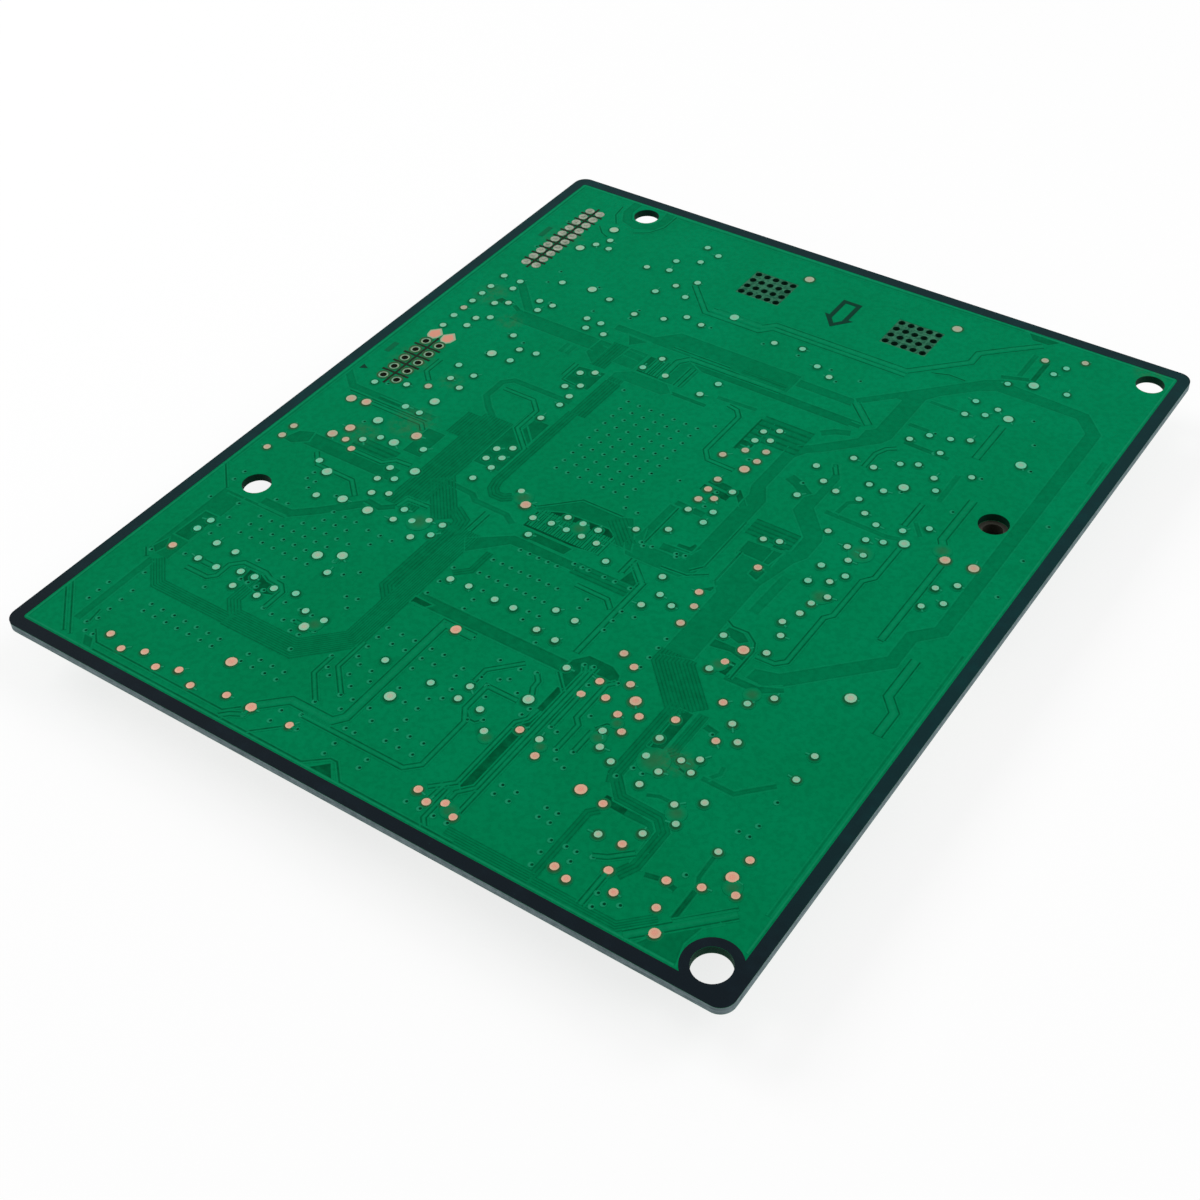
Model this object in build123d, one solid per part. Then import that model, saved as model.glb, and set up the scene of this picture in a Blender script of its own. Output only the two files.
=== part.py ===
from build123d import *
import os

# A refrigerator control board, lying with its soldered side up on the connectors of its part side.
# Millimetres. X runs along the short side, Y along the long side, +Z out of the soldered side.
# The origin is at the middle of the board, at the level of the connector mouths.

# Board
BOARD_X = 110.0
BOARD_Y = 130.0
CORNER_R = 2.0
LAMINATE_T = 1.1
MASK_T = 0.05
PRINT_T = 0.03
GRID_STEPS_X = 110  # the layout grid: one step is a millimetre on a board of this size
GRID_STEPS_Y = 130

# Holes
SCREW_HOLE_R = 2.1
EARTH_HOLE_R = 2.4
EARTH_RING_W = 1.2
SOUND_HOLE_R = 2.15
VENT_R = 0.55
VENT_COLUMNS, VENT_ROWS = 5, 4
VENT_PITCH_X, VENT_PITCH_Y = 1.57, 1.8
VENT_MARGIN = 0.7

# Print
BAND_W = 1.8
BAND_INNER_R = 0.5
ARROW_SHAFT_W = 3.3
ARROW_HEAD_W = 4.9
ARROW_LENGTH = 7.5
ARROW_HEAD_LENGTH = 2.9
ARROW_LINE = 0.75
BARRIER_LINE = 0.4
BARRIER_OVERHANG = 0.6

# Test pads
PAD_T = 0.05
SMALL_PAD_R = 0.6
LARGE_PAD_R = 0.77
PAD_SIDES = 8

# Plug header, soldered through the board
HEADER_PITCH = 2.0
HEADER_ROWS = 10
HEADER_PIN = 0.5
HEADER_DRILL_R = 0.45
HEADER_PAD_R = 0.78
JOINT_TOP_R = 0.5
JOINT_H = 0.15
PIN_TIP = 0.05

# Spare pattern of plated holes, left open
SPARE_PITCH = 2.54
SPARE_ROWS = 5
SPARE_HOLE_R = 0.52
PLATING_T = 0.06
SPARE_RING_R = 0.9
MASK_RELIEF = 0.04
THIEF_GAP = 0.14  # between the two solder thieves
THIEF_CLEARANCE = 0.1  # from the last ring to a thief's neck
THIEF_NECK_W, THIEF_NECK_L = 1.0, 0.5
THIEF_WAIST_W = 1.92
THIEF_SHOULDER_H = 1.1
THIEF_PEAK_H = 1.2

# Connectors: every shroud has the same height, because the board lies on them
SHROUD_H = 8.0
SHROUD_BASE = 1.8
SHROUD_WALL = 0.8
SHROUD_END = 2.45
KEY_W = 1.6
KEY_DEPTH = 3.6
PIN_RECESS = 2.0
HEADER_SHROUD_W = 7.0
SENSOR_WAYS = 12
FAN_WAYS = 4
DISPLAY_WAYS = 8
SUPPLY_WAYS = 5
WAFER_PITCH = 2.5
WAFER_W = 6.5
WAFER_PIN = 0.64
FOOT_T = 0.25
FOOT_REACH = 1.1
TAB_L, TAB_W, TAB_H = 1.2, 2.6, 2.4

# Chips
PROCESSOR_SIDE, PROCESSOR_H = 24.0, 1.4
CHIP_BEVEL = 0.2
DIMPLE_R, DIMPLE_DEPTH, DIMPLE_INSET = 0.8, 0.15, 2.0
DRIVER_X, DRIVER_Y, DRIVER_H = 10.3, 7.5, 2.3
MEMORY_X, MEMORY_Y, MEMORY_H = 5.3, 5.2, 1.7
SMALL_CHIP_X, SMALL_CHIP_Y, SMALL_CHIP_H = 5.0, 3.9, 1.5
COUPLER_X, COUPLER_Y, COUPLER_H = 4.6, 6.5, 2.1

# Power and other parts
CAN_R, CAN_H = 4.0, 4.9
CAN_BASE, CAN_BASE_H, CAN_BASE_CUT = 8.3, 1.2, 1.6
INDUCTOR, INDUCTOR_H, INDUCTOR_CUT = 8.0, 4.0, 1.2
REGULATOR_X, REGULATOR_Y, REGULATOR_H = 6.6, 6.1, 2.3
HEAT_TAB_X, HEAT_TAB_Y, HEAT_TAB_T = 5.4, 2.9, 0.5
DIODE_X, DIODE_Y, DIODE_H = 4.6, 3.6, 2.2
FUSE_X, FUSE_Y, FUSE_H = 10.0, 3.0, 2.7
CRYSTAL_X, CRYSTAL_Y, CRYSTAL_H, CRYSTAL_R = 11.4, 4.7, 3.6, 2.1
BUZZER_R, BUZZER_H, BUZZER_PORT_R, BUZZER_PORT_DEPTH = 6.0, 5.5, 1.4, 2.5
TRANSISTOR_X, TRANSISTOR_Y, TRANSISTOR_H = 2.9, 1.3, 1.1
RESISTOR_X, RESISTOR_Y, RESISTOR_H = 1.6, 0.8, 0.45
CERAMIC_X, CERAMIC_Y, CERAMIC_H = 2.0, 1.25, 0.9
LAMP_X, LAMP_Y, LAMP_H = 2.0, 1.25, 0.8
CERAMIC_ROW_GAP = 2.2  # from the processor's side to its row of ceramic capacitors
CERAMICS_A_SIDE = 6
RESISTOR_PITCH = 2.5
TRANSISTOR_PITCH = 3.5

# Levels
UNDER = SHROUD_H  # the part side's surface
CORE_LOW = UNDER + MASK_T
CORE_HIGH = CORE_LOW + LAMINATE_T
TOP = CORE_HIGH + MASK_T

# Places, in steps of the layout grid from the front left corner
SCREW_HOLES = [(16.65, 125.1), (105.2, 125.0), (9.1, 38.15)]
EARTH_HOLE = (105.5, 4.35)
SOUND_HOLE = (99.55, 84.7)
VENT_PANELS = [(44.75, 117.3), (70.3, 117.3)]
ARROW = (58.25, 117.05)
HEADER = (8.64, 112.5)
SPARE = (8.97, 72.5)

# Places by the two plug patterns, in millimetres from the middle of each
MARK_W = 0.9
HEADER_MARK, HEADER_MARK_L = (-3.69, 0.0), 3.1
SPARE_MARK, SPARE_MARK_L = (-4.77, 1.1), 2.6
PIN_ONE_MARK, PIN_ONE_SIZE = (-4.87, -5.1), 1.2
SPARE_SIDE_PADS = [(-1.67, 9.8), (1.53, 11.7), (3.33, -5.2), (-1.17, -7.2)]

# Small tinned test pads, area by area
TINNED = {
    "plug": [(15.7, 115.8), (14.4, 113.6), (16.9, 113.6)],
    "back left": [
        (30.5, 122.3), (33.3, 121.1), (31.8, 118.1), (28.3, 116.3), (28.8, 113.5), (25.2, 112.4),
        (34.6, 112.8), (32.1, 110.3), (35.1, 108.4), (30.2, 107.3), (38.3, 103.9), (35.5, 101.6),
        (30.9, 100.3), (25.3, 101.6), (16.2, 101.6),
    ],
    "back middle": [(41.3, 103.3), (53.3, 105.1), (57.7, 106.0), (61.8, 103.3), (64.6, 101.9)],
    "trios": [
        (16.2, 95.5), (18.7, 95.5), (17.4, 93.3), (25.3, 95.5), (27.9, 95.5), (26.6, 93.3), (29.9, 93.3),
    ],
    "clock": [(41.1, 92.7), (39.8, 89.4), (43.8, 89.4), (51.6, 91.8), (50.6, 88.3)],
    "left edge": [
        (7.1, 98.3), (10.3, 98.3), (10.5, 96.1), (7.1, 94.8), (7.1, 92.5), (12.3, 92.5), (10.5, 91.3),
        (7.1, 90.0), (12.3, 87.8), (10.5, 86.5), (7.1, 85.3),
    ],
    "left": [
        (18.3, 85.8), (21.3, 83.3), (24.1, 83.8), (21.8, 80.3), (15.9, 75.3), (19.5, 74.3), (16.9, 72.0),
        (19.5, 70.8), (15.6, 63.0), (18.3, 62.9), (24.2, 56.5), (17.2, 55.4), (15.3, 53.7),
    ],
    "processor west": [
        (34.5, 84.5), (32.6, 83.3), (34.5, 80.7), (32.6, 79.4), (34.6, 77.7), (34.6, 75.3), (34.1, 71.3),
        (34.9, 63.5), (33.0, 62.2), (34.9, 60.9), (33.0, 59.7), (34.9, 58.4), (34.1, 55.2),
    ],
    "processor south": [
        (41.6, 56.5), (46.3, 52.8), (49.1, 53.2), (50.3, 55.4), (51.6, 53.2), (52.8, 55.4), (54.1, 53.2),
        (55.3, 55.4), (56.6, 53.1), (47.8, 49.7), (59.5, 58.3), (59.7, 50.8),
    ],
    "processor east": [
        (65.0, 86.9), (63.1, 85.6), (65.0, 84.3), (63.1, 83.2), (66.4, 71.8), (66.4, 66.8), (63.2, 65.5),
        (66.4, 64.3), (63.2, 60.6),
    ],
    "memory": [
        (22.8, 50.8), (24.9, 49.2), (22.8, 48.0), (26.3, 46.3), (24.1, 45.2), (13.2, 46.7), (17.9, 40.7),
        (30.3, 44.8), (34.6, 44.8), (36.8, 45.0), (32.7, 43.5), (30.3, 42.4), (36.7, 42.6), (34.6, 40.8),
    ],
    "drivers": [
        (44.4, 37.1), (47.3, 37.3), (51.7, 37.1), (54.7, 37.1), (59.6, 39.7), (62.8, 39.4), (59.6, 35.5),
        (62.7, 35.2), (66.8, 32.0), (67.7, 52.3), (69.3, 49.3), (71.7, 48.3), (68.3, 46.4),
    ],
    "front left": [
        (29.8, 29.4), (9.2, 28.9), (8.8, 26.7), (13.2, 25.9), (16.6, 25.9), (13.2, 22.3), (16.5, 22.3),
        (19.9, 23.4), (22.2, 23.6), (20.9, 20.8), (25.9, 23.3), (24.9, 21.1), (29.0, 24.1), (32.3, 22.3),
        (35.5, 22.2),
    ],
    "front middle": [
        (46.8, 20.9), (54.1, 20.9), (58.6, 23.0), (58.6, 20.6), (62.0, 20.6), (64.6, 18.0), (71.0, 20.5),
    ],
    "right middle": [
        (75.0, 65.7), (77.1, 66.4), (73.3, 82.9), (75.8, 80.5), (74.2, 76.0), (76.9, 87.1), (80.2, 86.8),
        (78.3, 79.5), (81.8, 79.7), (81.5, 83.2), (83.8, 83.0), (83.0, 89.4), (85.2, 90.6), (88.4, 89.1),
        (89.8, 86.8), (81.5, 95.1), (83.5, 97.3), (86.4, 98.1), (88.9, 99.3), (86.6, 94.5), (92.7, 92.0),
    ],
    "back right": [
        (85.5, 108.0), (89.1, 107.8), (88.1, 105.7), (85.5, 104.4), (87.6, 114.2), (96.0, 116.3),
        (92.3, 119.9), (93.3, 122.2),
    ],
    "inputs": [
        (83.9, 77.5), (86.3, 76.2), (89.9, 77.0), (92.7, 79.3), (88.8, 73.6), (86.6, 72.8), (81.5, 71.7),
        (85.2, 70.3), (87.8, 69.9), (86.6, 68.0), (84.1, 65.3), (87.8, 65.1), (86.6, 63.1), (84.1, 61.8),
        (87.8, 60.4), (86.6, 58.3), (86.3, 55.9), (85.2, 53.4), (86.3, 51.1), (86.4, 47.5),
    ],
    "right edge": [(100.9, 71.2), (98.7, 69.3), (100.9, 67.2), (98.7, 65.3), (100.0, 35.8), (100.0, 31.5)],
    "front right": [
        (80.2, 47.3), (81.8, 41.4), (91.2, 41.3), (88.9, 38.8), (89.1, 35.0), (91.2, 32.8), (83.0, 28.4),
        (88.9, 28.1), (87.1, 26.8), (89.1, 25.8), (83.2, 25.2), (85.8, 23.9), (85.0, 21.1), (90.1, 20.7),
        (92.9, 22.8), (91.8, 18.4), (76.6, 25.7), (77.8, 23.4), (80.2, 22.2), (89.4, 15.2), (85.2, 12.4),
        (98.0, 17.6),
    ],
}

# Small test pads of bare copper
COPPER = {
    "left": [
        (7.1, 87.8), (15.3, 68.7), (13.2, 52.4), (15.3, 51.2), (4.7, 50.8), (4.7, 48.3), (4.7, 45.1),
        (8.4, 22.4),
    ],
    "processor east": [
        (60.9, 78.1), (63.1, 80.6), (65.8, 81.8), (65.8, 79.3), (63.2, 73.1), (63.2, 70.6), (65.0, 69.3),
        (63.2, 68.1),
    ],
    "sensors": [
        (13.9, 5.7), (17.0, 4.5), (20.0, 5.7), (23.1, 4.5), (26.0, 5.7), (29.1, 4.5), (34.1, 5.7),
        (44.1, 6.1),
    ],
    "fan": [(63.7, 6.6), (65.7, 5.6), (67.7, 6.6), (69.7, 5.5), (68.1, 20.5), (72.1, 18.1)],
    "power": [
        (73.3, 52.4), (74.2, 49.8), (74.4, 46.3), (82.8, 43.4), (86.3, 37.4), (71.4, 37.9), (73.8, 36.6),
        (75.1, 33.9), (71.6, 32.3), (73.8, 30.4), (79.0, 30.0), (70.9, 29.3), (76.6, 28.9), (78.6, 26.8),
        (88.9, 31.6), (83.0, 31.9), (77.3, 60.5),
    ],
    "front right": [
        (83.1, 16.4), (88.3, 12.7), (89.1, 8.8), (95.3, 11.1), (101.6, 18.5), (102.8, 13.5), (99.1, 12.4),
        (91.3, 6.6), (96.4, 7.4), (83.7, 6.0), (85.8, 5.3),
    ],
    "back right": [(89.8, 122.4), (95.1, 124.9)],
}

LARGE_TINNED = [
    (14.4, 118.8), (12.75, 111.4), (44.6, 107.7), (21.4, 102.5), (18.3, 80.3), (18.5, 66.2), (14.3, 58.3),
    (19.6, 55.5), (26.3, 52.0), (15.8, 45.4), (21.6, 42.0), (26.1, 42.0), (29.3, 33.0), (26.4, 31.3),
    (66.0, 25.1), (51.3, 16.4), (34.1, 20.0), (85.8, 85.1), (91.3, 106.6), (91.0, 115.8), (97.3, 98.0),
    (91.3, 74.8), (99.0, 46.3),
]
LARGE_COPPER = [
    (49.2, 122.9), (75.1, 122.9), (7.5, 60.3), (10.0, 60.8), (21.4, 58.4), (12.0, 54.8), (10.7, 52.4),
    (43.8, 54.5), (65.2, 76.9), (83.7, 46.4), (77.2, 31.9), (79.7, 16.8), (50.9, 30.0),
    (30.6, 10.3), (38.1, 5.8), (97.3, 74.8), (101.2, 75.3), (101.2, 15.4), (98.1, 4.5),
]

# Parts of the part side: the grid place of each one's middle
WAFERS = {  # name: place, ways
    "sensor_connector": ((29.0, 9.8), SENSOR_WAYS),
    "fan_connector": ((66.7, 9.8), FAN_WAYS),
    "display_connector": ((101.5, 56.0), DISPLAY_WAYS),
    "supply_connector": ((90.0, 119.3), SUPPLY_WAYS),
}
WAFERS_ALONG_Y = ["display_connector"]
PROCESSOR = (49.5, 72.0)
CRYSTAL = (49.5, 93.0)
DRIVERS = {"heater_driver": (24.0, 108.0), "fan_driver": (50.0, 40.0), "damper_driver": (66.0, 40.0)}
PROGRAM_MEMORY = (28.0, 65.0)
SMALL_CHIPS = {"settings_memory": (28.0, 80.0), "bus_transceiver": (24.0, 92.0)}
COUPLERS = [(20.0, 46.0), (20.0, 55.0)]
CANS = [(78.0, 102.5), (88.5, 102.5), (88.5, 91.5)]
INDUCTORS = [(76.5, 66.0), (76.5, 54.0)]
REGULATOR = (77.0, 80.0)
DIODES = [(68.0, 105.0), (68.0, 98.5), (101.0, 109.0)]
FUSE = (78.0, 111.5)
LAMP = (14.0, 88.0)
TRANSISTOR_ROW = ((90.0, 50.0), (90.0, 71.0))
RESISTOR_ROWS = [  # first place, last place
    ((15.0, 103.5), (15.0, 121.5)),
    ((15.25, 17.0), (42.75, 17.0)),
    ((63.0, 17.0), (70.5, 17.0)),
    ((94.5, 47.25), (94.5, 64.75)),
    ((86.5, 29.0), (86.5, 39.0)),
    ((40.0, 26.0), (62.5, 26.0)),
]


def spot(step_x, step_y):
    """The place of a point of the layout grid."""
    return (step_x / GRID_STEPS_X - 0.5) * BOARD_X, (step_y / GRID_STEPS_Y - 0.5) * BOARD_Y


def at(place, z):
    return Location((*spot(*place), z))


def sheet(outline, low, thickness):
    """A flat outline made solid, from a level upwards."""
    return extrude(Location((0, 0, low)) * outline, thickness, dir=(0, 0, 1))


def round_at(place, radius):
    return Pos(*spot(*place)) * Circle(radius)


def hung(width, depth, height, place):
    """A block that hangs on the part side by its upper face."""
    return at(place, UNDER - height / 2) * Box(width, depth, height)


def header_places():
    """Offsets of the plug header's pins from its middle."""
    return list(GridLocations(HEADER_PITCH, HEADER_PITCH, 2, HEADER_ROWS))


def spare_places():
    return list(GridLocations(SPARE_PITCH, SPARE_PITCH, 2, SPARE_ROWS))


def beside(place, offset):
    """A point some millimetres from a place of the layout grid."""
    return Pos(*spot(*place)) * Pos(*offset)


def around(place, offsets):
    return [Location((*spot(*place), 0)) * offset for offset in offsets]


def board_outline():
    return RectangleRounded(BOARD_X, BOARD_Y, CORNER_R)


def case_holes():
    """The round holes that the case and the buzzer use."""
    holes = Sketch() + [round_at(p, SCREW_HOLE_R) for p in SCREW_HOLES]
    return holes + round_at(EARTH_HOLE, EARTH_HOLE_R) + round_at(SOUND_HOLE, SOUND_HOLE_R)


def vent_window_size():
    return (
        (VENT_COLUMNS - 1) * VENT_PITCH_X + 2 * VENT_MARGIN,
        (VENT_ROWS - 1) * VENT_PITCH_Y + 2 * VENT_MARGIN,
    )


def laminate():
    vents = GridLocations(VENT_PITCH_X, VENT_PITCH_Y, VENT_COLUMNS, VENT_ROWS)
    drilled = [loc * Circle(VENT_R) for panel in VENT_PANELS for loc in around(panel, vents)]
    drilled += [loc * Circle(HEADER_DRILL_R) for loc in around(HEADER, header_places())]
    drilled += [loc * Circle(SPARE_HOLE_R + PLATING_T) for loc in around(SPARE, spare_places())]
    outline = board_outline() - case_holes() - (Sketch() + drilled)
    return sheet(outline, CORE_LOW, LAMINATE_T)


def mask(low):
    """One lacquer film, open over the vent panels and round every soldered hole."""
    windows = [Pos(*spot(*panel)) * Rectangle(*vent_window_size()) for panel in VENT_PANELS]
    windows += [loc * Circle(HEADER_PAD_R + MASK_RELIEF) for loc in around(HEADER, header_places())]
    windows += [loc * Circle(SPARE_RING_R + MASK_RELIEF) for loc in around(SPARE, spare_places())]
    return sheet(board_outline() - case_holes() - (Sketch() + windows), low, MASK_T)


def edge_band():
    """The dark printed border, with a ring round the earthing hole that runs into it."""
    inner = RectangleRounded(BOARD_X - 2 * BAND_W, BOARD_Y - 2 * BAND_W, BAND_INNER_R)
    band = board_outline() - inner + round_at(EARTH_HOLE, EARTH_HOLE_R + EARTH_RING_W)
    return sheet(band & board_outline() - round_at(EARTH_HOLE, EARTH_HOLE_R), TOP, PRINT_T)


def arrow():
    """An outlined arrow towards -Y."""
    half, wing, end = ARROW_SHAFT_W / 2, ARROW_HEAD_W / 2, ARROW_LENGTH / 2
    neck = ARROW_HEAD_LENGTH - end
    points = [(half, end), (half, neck), (wing, neck), (0, -end), (-wing, neck), (-half, neck), (-half, end)]
    outer = make_face(Polyline(*points, close=True))
    return outer - offset(outer, -ARROW_LINE, kind=Kind.INTERSECTION)


def legend():
    """The feed arrow, two marks beside the plug patterns and the pin-one triangle."""
    feed = Pos(*spot(*ARROW)) * arrow()
    header_mark = beside(HEADER, HEADER_MARK) * Rectangle(MARK_W, HEADER_MARK_L)
    spare_mark = beside(SPARE, SPARE_MARK) * Rectangle(MARK_W, SPARE_MARK_L)
    half = PIN_ONE_SIZE / 2
    triangle = make_face(Polyline((half, 0), (-half, half), (-half, -half), close=True))
    pin_one = beside(SPARE, PIN_ONE_MARK) * triangle
    return [sheet(field, TOP, PRINT_T) for field in (feed, header_mark, spare_mark, pin_one)]


def barrier(place, pitch, rows, pad_r):
    """Ink lines that keep solder from bridging: one down the middle, one between each two rows."""
    length = rows * pitch + BARRIER_OVERHANG
    width = pitch + 2 * pad_r + BARRIER_OVERHANG
    lines = [Rectangle(BARRIER_LINE, length)]
    lines += [Pos(0, (n - rows / 2) * pitch) * Rectangle(width, BARRIER_LINE) for n in range(1, rows)]
    open_pads = [loc * Circle(pad_r + MASK_RELIEF) for loc in GridLocations(pitch, pitch, 2, rows)]
    return sheet(Pos(*spot(*place)) * (Sketch() + lines - (Sketch() + open_pads)), TOP, PRINT_T)


def small_pad():
    return Pos(0, 0, TOP) * extrude(RegularPolygon(SMALL_PAD_R, PAD_SIDES, rotation=180 / PAD_SIDES), PAD_T)


def small_pads(areas):
    return [at(place, 0) * small_pad() for places in areas.values() for place in places]


def large_pads(places):
    return [at(place, TOP) * extrude(Circle(LARGE_PAD_R), PAD_T) for place in places]


def header_joints(pins):
    """Solder that fills each plug hole round its pin and rises in a cone above the pad."""
    joints = []
    for loc, pin in zip(around(HEADER, header_places()), pins):
        plug = Pos(0, 0, UNDER) * extrude(Circle(HEADER_DRILL_R), CORE_HIGH - UNDER)
        pad = Pos(0, 0, CORE_HIGH) * extrude(Circle(HEADER_PAD_R), MASK_T)
        cone = Pos(0, 0, TOP + JOINT_H / 2) * Cone(HEADER_PAD_R, JOINT_TOP_R, JOINT_H)
        joints.append(loc * (plug + pad + cone) - pin)
    return joints


def spare_barrels():
    """Plated walls of the open holes, with a ring on each face of the laminate."""
    wall = Pos(0, 0, CORE_LOW) * extrude(Circle(SPARE_HOLE_R + PLATING_T), LAMINATE_T)
    ring = extrude(Circle(SPARE_RING_R), MASK_T)
    hole = Pos(0, 0, UNDER) * extrude(Circle(SPARE_HOLE_R), TOP - UNDER)
    barrel = wall + Pos(0, 0, UNDER) * ring + Pos(0, 0, CORE_HIGH) * ring - hole
    return [loc * barrel for loc in around(SPARE, spare_places())]


def solder_thieves():
    """Bare copper fields past the last row of the spare pattern, which catch the last of the solder wave."""
    fields = []
    start = SPARE_RING_R + MASK_RELIEF + THIEF_CLEARANCE
    waist_y = start + THIEF_NECK_L
    eaves_y = waist_y + THIEF_SHOULDER_H
    neck, waist, eaves = THIEF_NECK_W / 2, THIEF_WAIST_W / 2, (SPARE_PITCH - THIEF_GAP) / 2
    half = [(neck, start), (waist, waist_y), (eaves, eaves_y)]
    points = [*half, (0, eaves_y + THIEF_PEAK_H), *[(-x, y) for x, y in reversed(half)]]
    last_row = (SPARE_ROWS - 1) / 2 * SPARE_PITCH
    for column in (-SPARE_PITCH / 2, SPARE_PITCH / 2):
        field = Pos(column, last_row) * make_face(Polyline(*points, close=True))
        fields.append(sheet(Pos(*spot(*SPARE)) * field, TOP, PAD_T))
    return fields


def shroud(width, length):
    """An open wafer shroud, mouth down, with two keyways in one long wall. Its length is along X."""
    block = Pos(0, 0, SHROUD_H / 2) * Box(length, width, SHROUD_H)
    mouth = SHROUD_H - SHROUD_BASE
    block -= Pos(0, 0, mouth / 2) * Box(length - 2 * SHROUD_WALL, width - 2 * SHROUD_WALL, mouth)
    for side in (-1, 1):
        key = Pos(side * length / 4, -width / 2 + SHROUD_WALL / 2, KEY_DEPTH / 2)
        block -= key * Box(KEY_W, SHROUD_WALL, KEY_DEPTH)
    return block


def header_pins():
    low, high = PIN_RECESS, TOP + JOINT_H + PIN_TIP
    pin = Pos(0, 0, (low + high) / 2) * Box(HEADER_PIN, HEADER_PIN, high - low)
    return [loc * pin for loc in around(HEADER, header_places())]


def header_shroud(pins):
    length = (HEADER_ROWS - 1) * HEADER_PITCH + 2 * SHROUD_END
    body = Location((*spot(*HEADER), 0)) * Rot(0, 0, 90) * shroud(HEADER_SHROUD_W, length)
    return body - pins


def wafer_length(ways):
    return (ways - 1) * WAFER_PITCH + 2 * SHROUD_END


def wafer_pin(side):
    """A square pin that bends at the board into a foot beside the shroud."""
    upright = Pos(0, 0, (PIN_RECESS + UNDER) / 2) * Box(WAFER_PIN, WAFER_PIN, UNDER - PIN_RECESS)
    reach = WAFER_W / 2 + FOOT_REACH
    foot = Pos(0, side * reach / 2, UNDER - FOOT_T / 2) * Box(WAFER_PIN, reach, FOOT_T)
    return upright + foot


def wafer(place, ways, turn):
    """A surface-mounted connector: its shroud, its pins and its two hold-down tabs."""
    where = Location((*spot(*place), 0), (0, 0, turn))
    places = GridLocations(WAFER_PITCH, 0, ways, 1)
    pins = [where * loc * wafer_pin(1 if n % 2 else -1) for n, loc in enumerate(places)]
    body = where * shroud(WAFER_W, wafer_length(ways)) - pins
    reach = wafer_length(ways) / 2 + TAB_L / 2
    tabs = [where * Pos(side * reach, 0, UNDER - TAB_H / 2) * Box(TAB_L, TAB_W, TAB_H) for side in (-1, 1)]
    return body, pins, tabs


def chip(width, depth, height, place):
    """A moulded package with bevelled edges all round."""
    body = hung(width, depth, height, place)
    level = body.faces().sort_by(Axis.Z)[0].edges()
    return chamfer(level, CHIP_BEVEL)


def processor():
    body = chip(PROCESSOR_SIDE, PROCESSOR_SIDE, PROCESSOR_H, PROCESSOR)
    inset = PROCESSOR_SIDE / 2 - DIMPLE_INSET
    dimple = Pos(-inset, inset, -PROCESSOR_H + DIMPLE_DEPTH / 2) * Cylinder(DIMPLE_R, DIMPLE_DEPTH)
    return body - at(PROCESSOR, UNDER) * dimple


def cut_corner_block(side, height, cut, place):
    """A square block with its four upright edges cut off."""
    block = hung(side, side, height, place)
    return chamfer(block.edges().filter_by(Axis.Z), cut)


def can(place):
    middle = UNDER - CAN_BASE_H - CAN_H / 2
    body = at(place, middle) * Cylinder(CAN_R, CAN_H)
    return chamfer(body.edges().sort_by(Axis.Z)[0], CHIP_BEVEL)


def heat_tab():
    middle = Pos(0, (REGULATOR_Y + HEAT_TAB_Y) / 2, -HEAT_TAB_T / 2)
    return at(REGULATOR, UNDER) * middle * Box(HEAT_TAB_X, HEAT_TAB_Y, HEAT_TAB_T)


def buzzer():
    """A sounder whose port faces the board's sound hole."""
    body = at(SOUND_HOLE, UNDER - BUZZER_H / 2) * Cylinder(BUZZER_R, BUZZER_H)
    port = at(SOUND_HOLE, UNDER - BUZZER_PORT_DEPTH / 2) * Cylinder(BUZZER_PORT_R, BUZZER_PORT_DEPTH)
    return body - port


def crystal():
    body = hung(CRYSTAL_X, CRYSTAL_Y, CRYSTAL_H, CRYSTAL)
    return fillet(body.edges().filter_by(Axis.Z), CRYSTAL_R)


def row(first, last, pitch):
    """Evenly spaced places from the first to the last, about a pitch apart."""
    (x, y), (last_x, last_y) = first, last
    gaps = round((abs(last_x - x) + abs(last_y - y)) / pitch)
    return [(x + (last_x - x) * n / gaps, y + (last_y - y) * n / gaps) for n in range(gaps + 1)]


def transistors():
    places = row(*TRANSISTOR_ROW, TRANSISTOR_PITCH)
    return [hung(TRANSISTOR_X, TRANSISTOR_Y, TRANSISTOR_H, place) for place in places]


def resistors():
    """Rows of chip resistors, each lying across its row."""
    found = []
    for first, last in RESISTOR_ROWS:
        along_y = first[0] == last[0]
        size = (RESISTOR_X, RESISTOR_Y) if along_y else (RESISTOR_Y, RESISTOR_X)
        found += [hung(*size, RESISTOR_H, place) for place in row(first, last, RESISTOR_PITCH)]
    return found


def ceramics():
    """Rows of supply capacitors along the four sides of the processor."""
    found = []
    off = PROCESSOR_SIDE / 2 + CERAMIC_ROW_GAP + CERAMIC_Y / 2
    spread = PROCESSOR_SIDE / CERAMICS_A_SIDE
    for turns in range(4):
        side = at(PROCESSOR, UNDER - CERAMIC_H / 2) * Rot(0, 0, 90 * turns)
        for n in range(CERAMICS_A_SIDE):
            along = (n - (CERAMICS_A_SIDE - 1) / 2) * spread
            found.append(side * Pos(along, off, 0) * Box(CERAMIC_X, CERAMIC_Y, CERAMIC_H))
    return found


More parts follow.
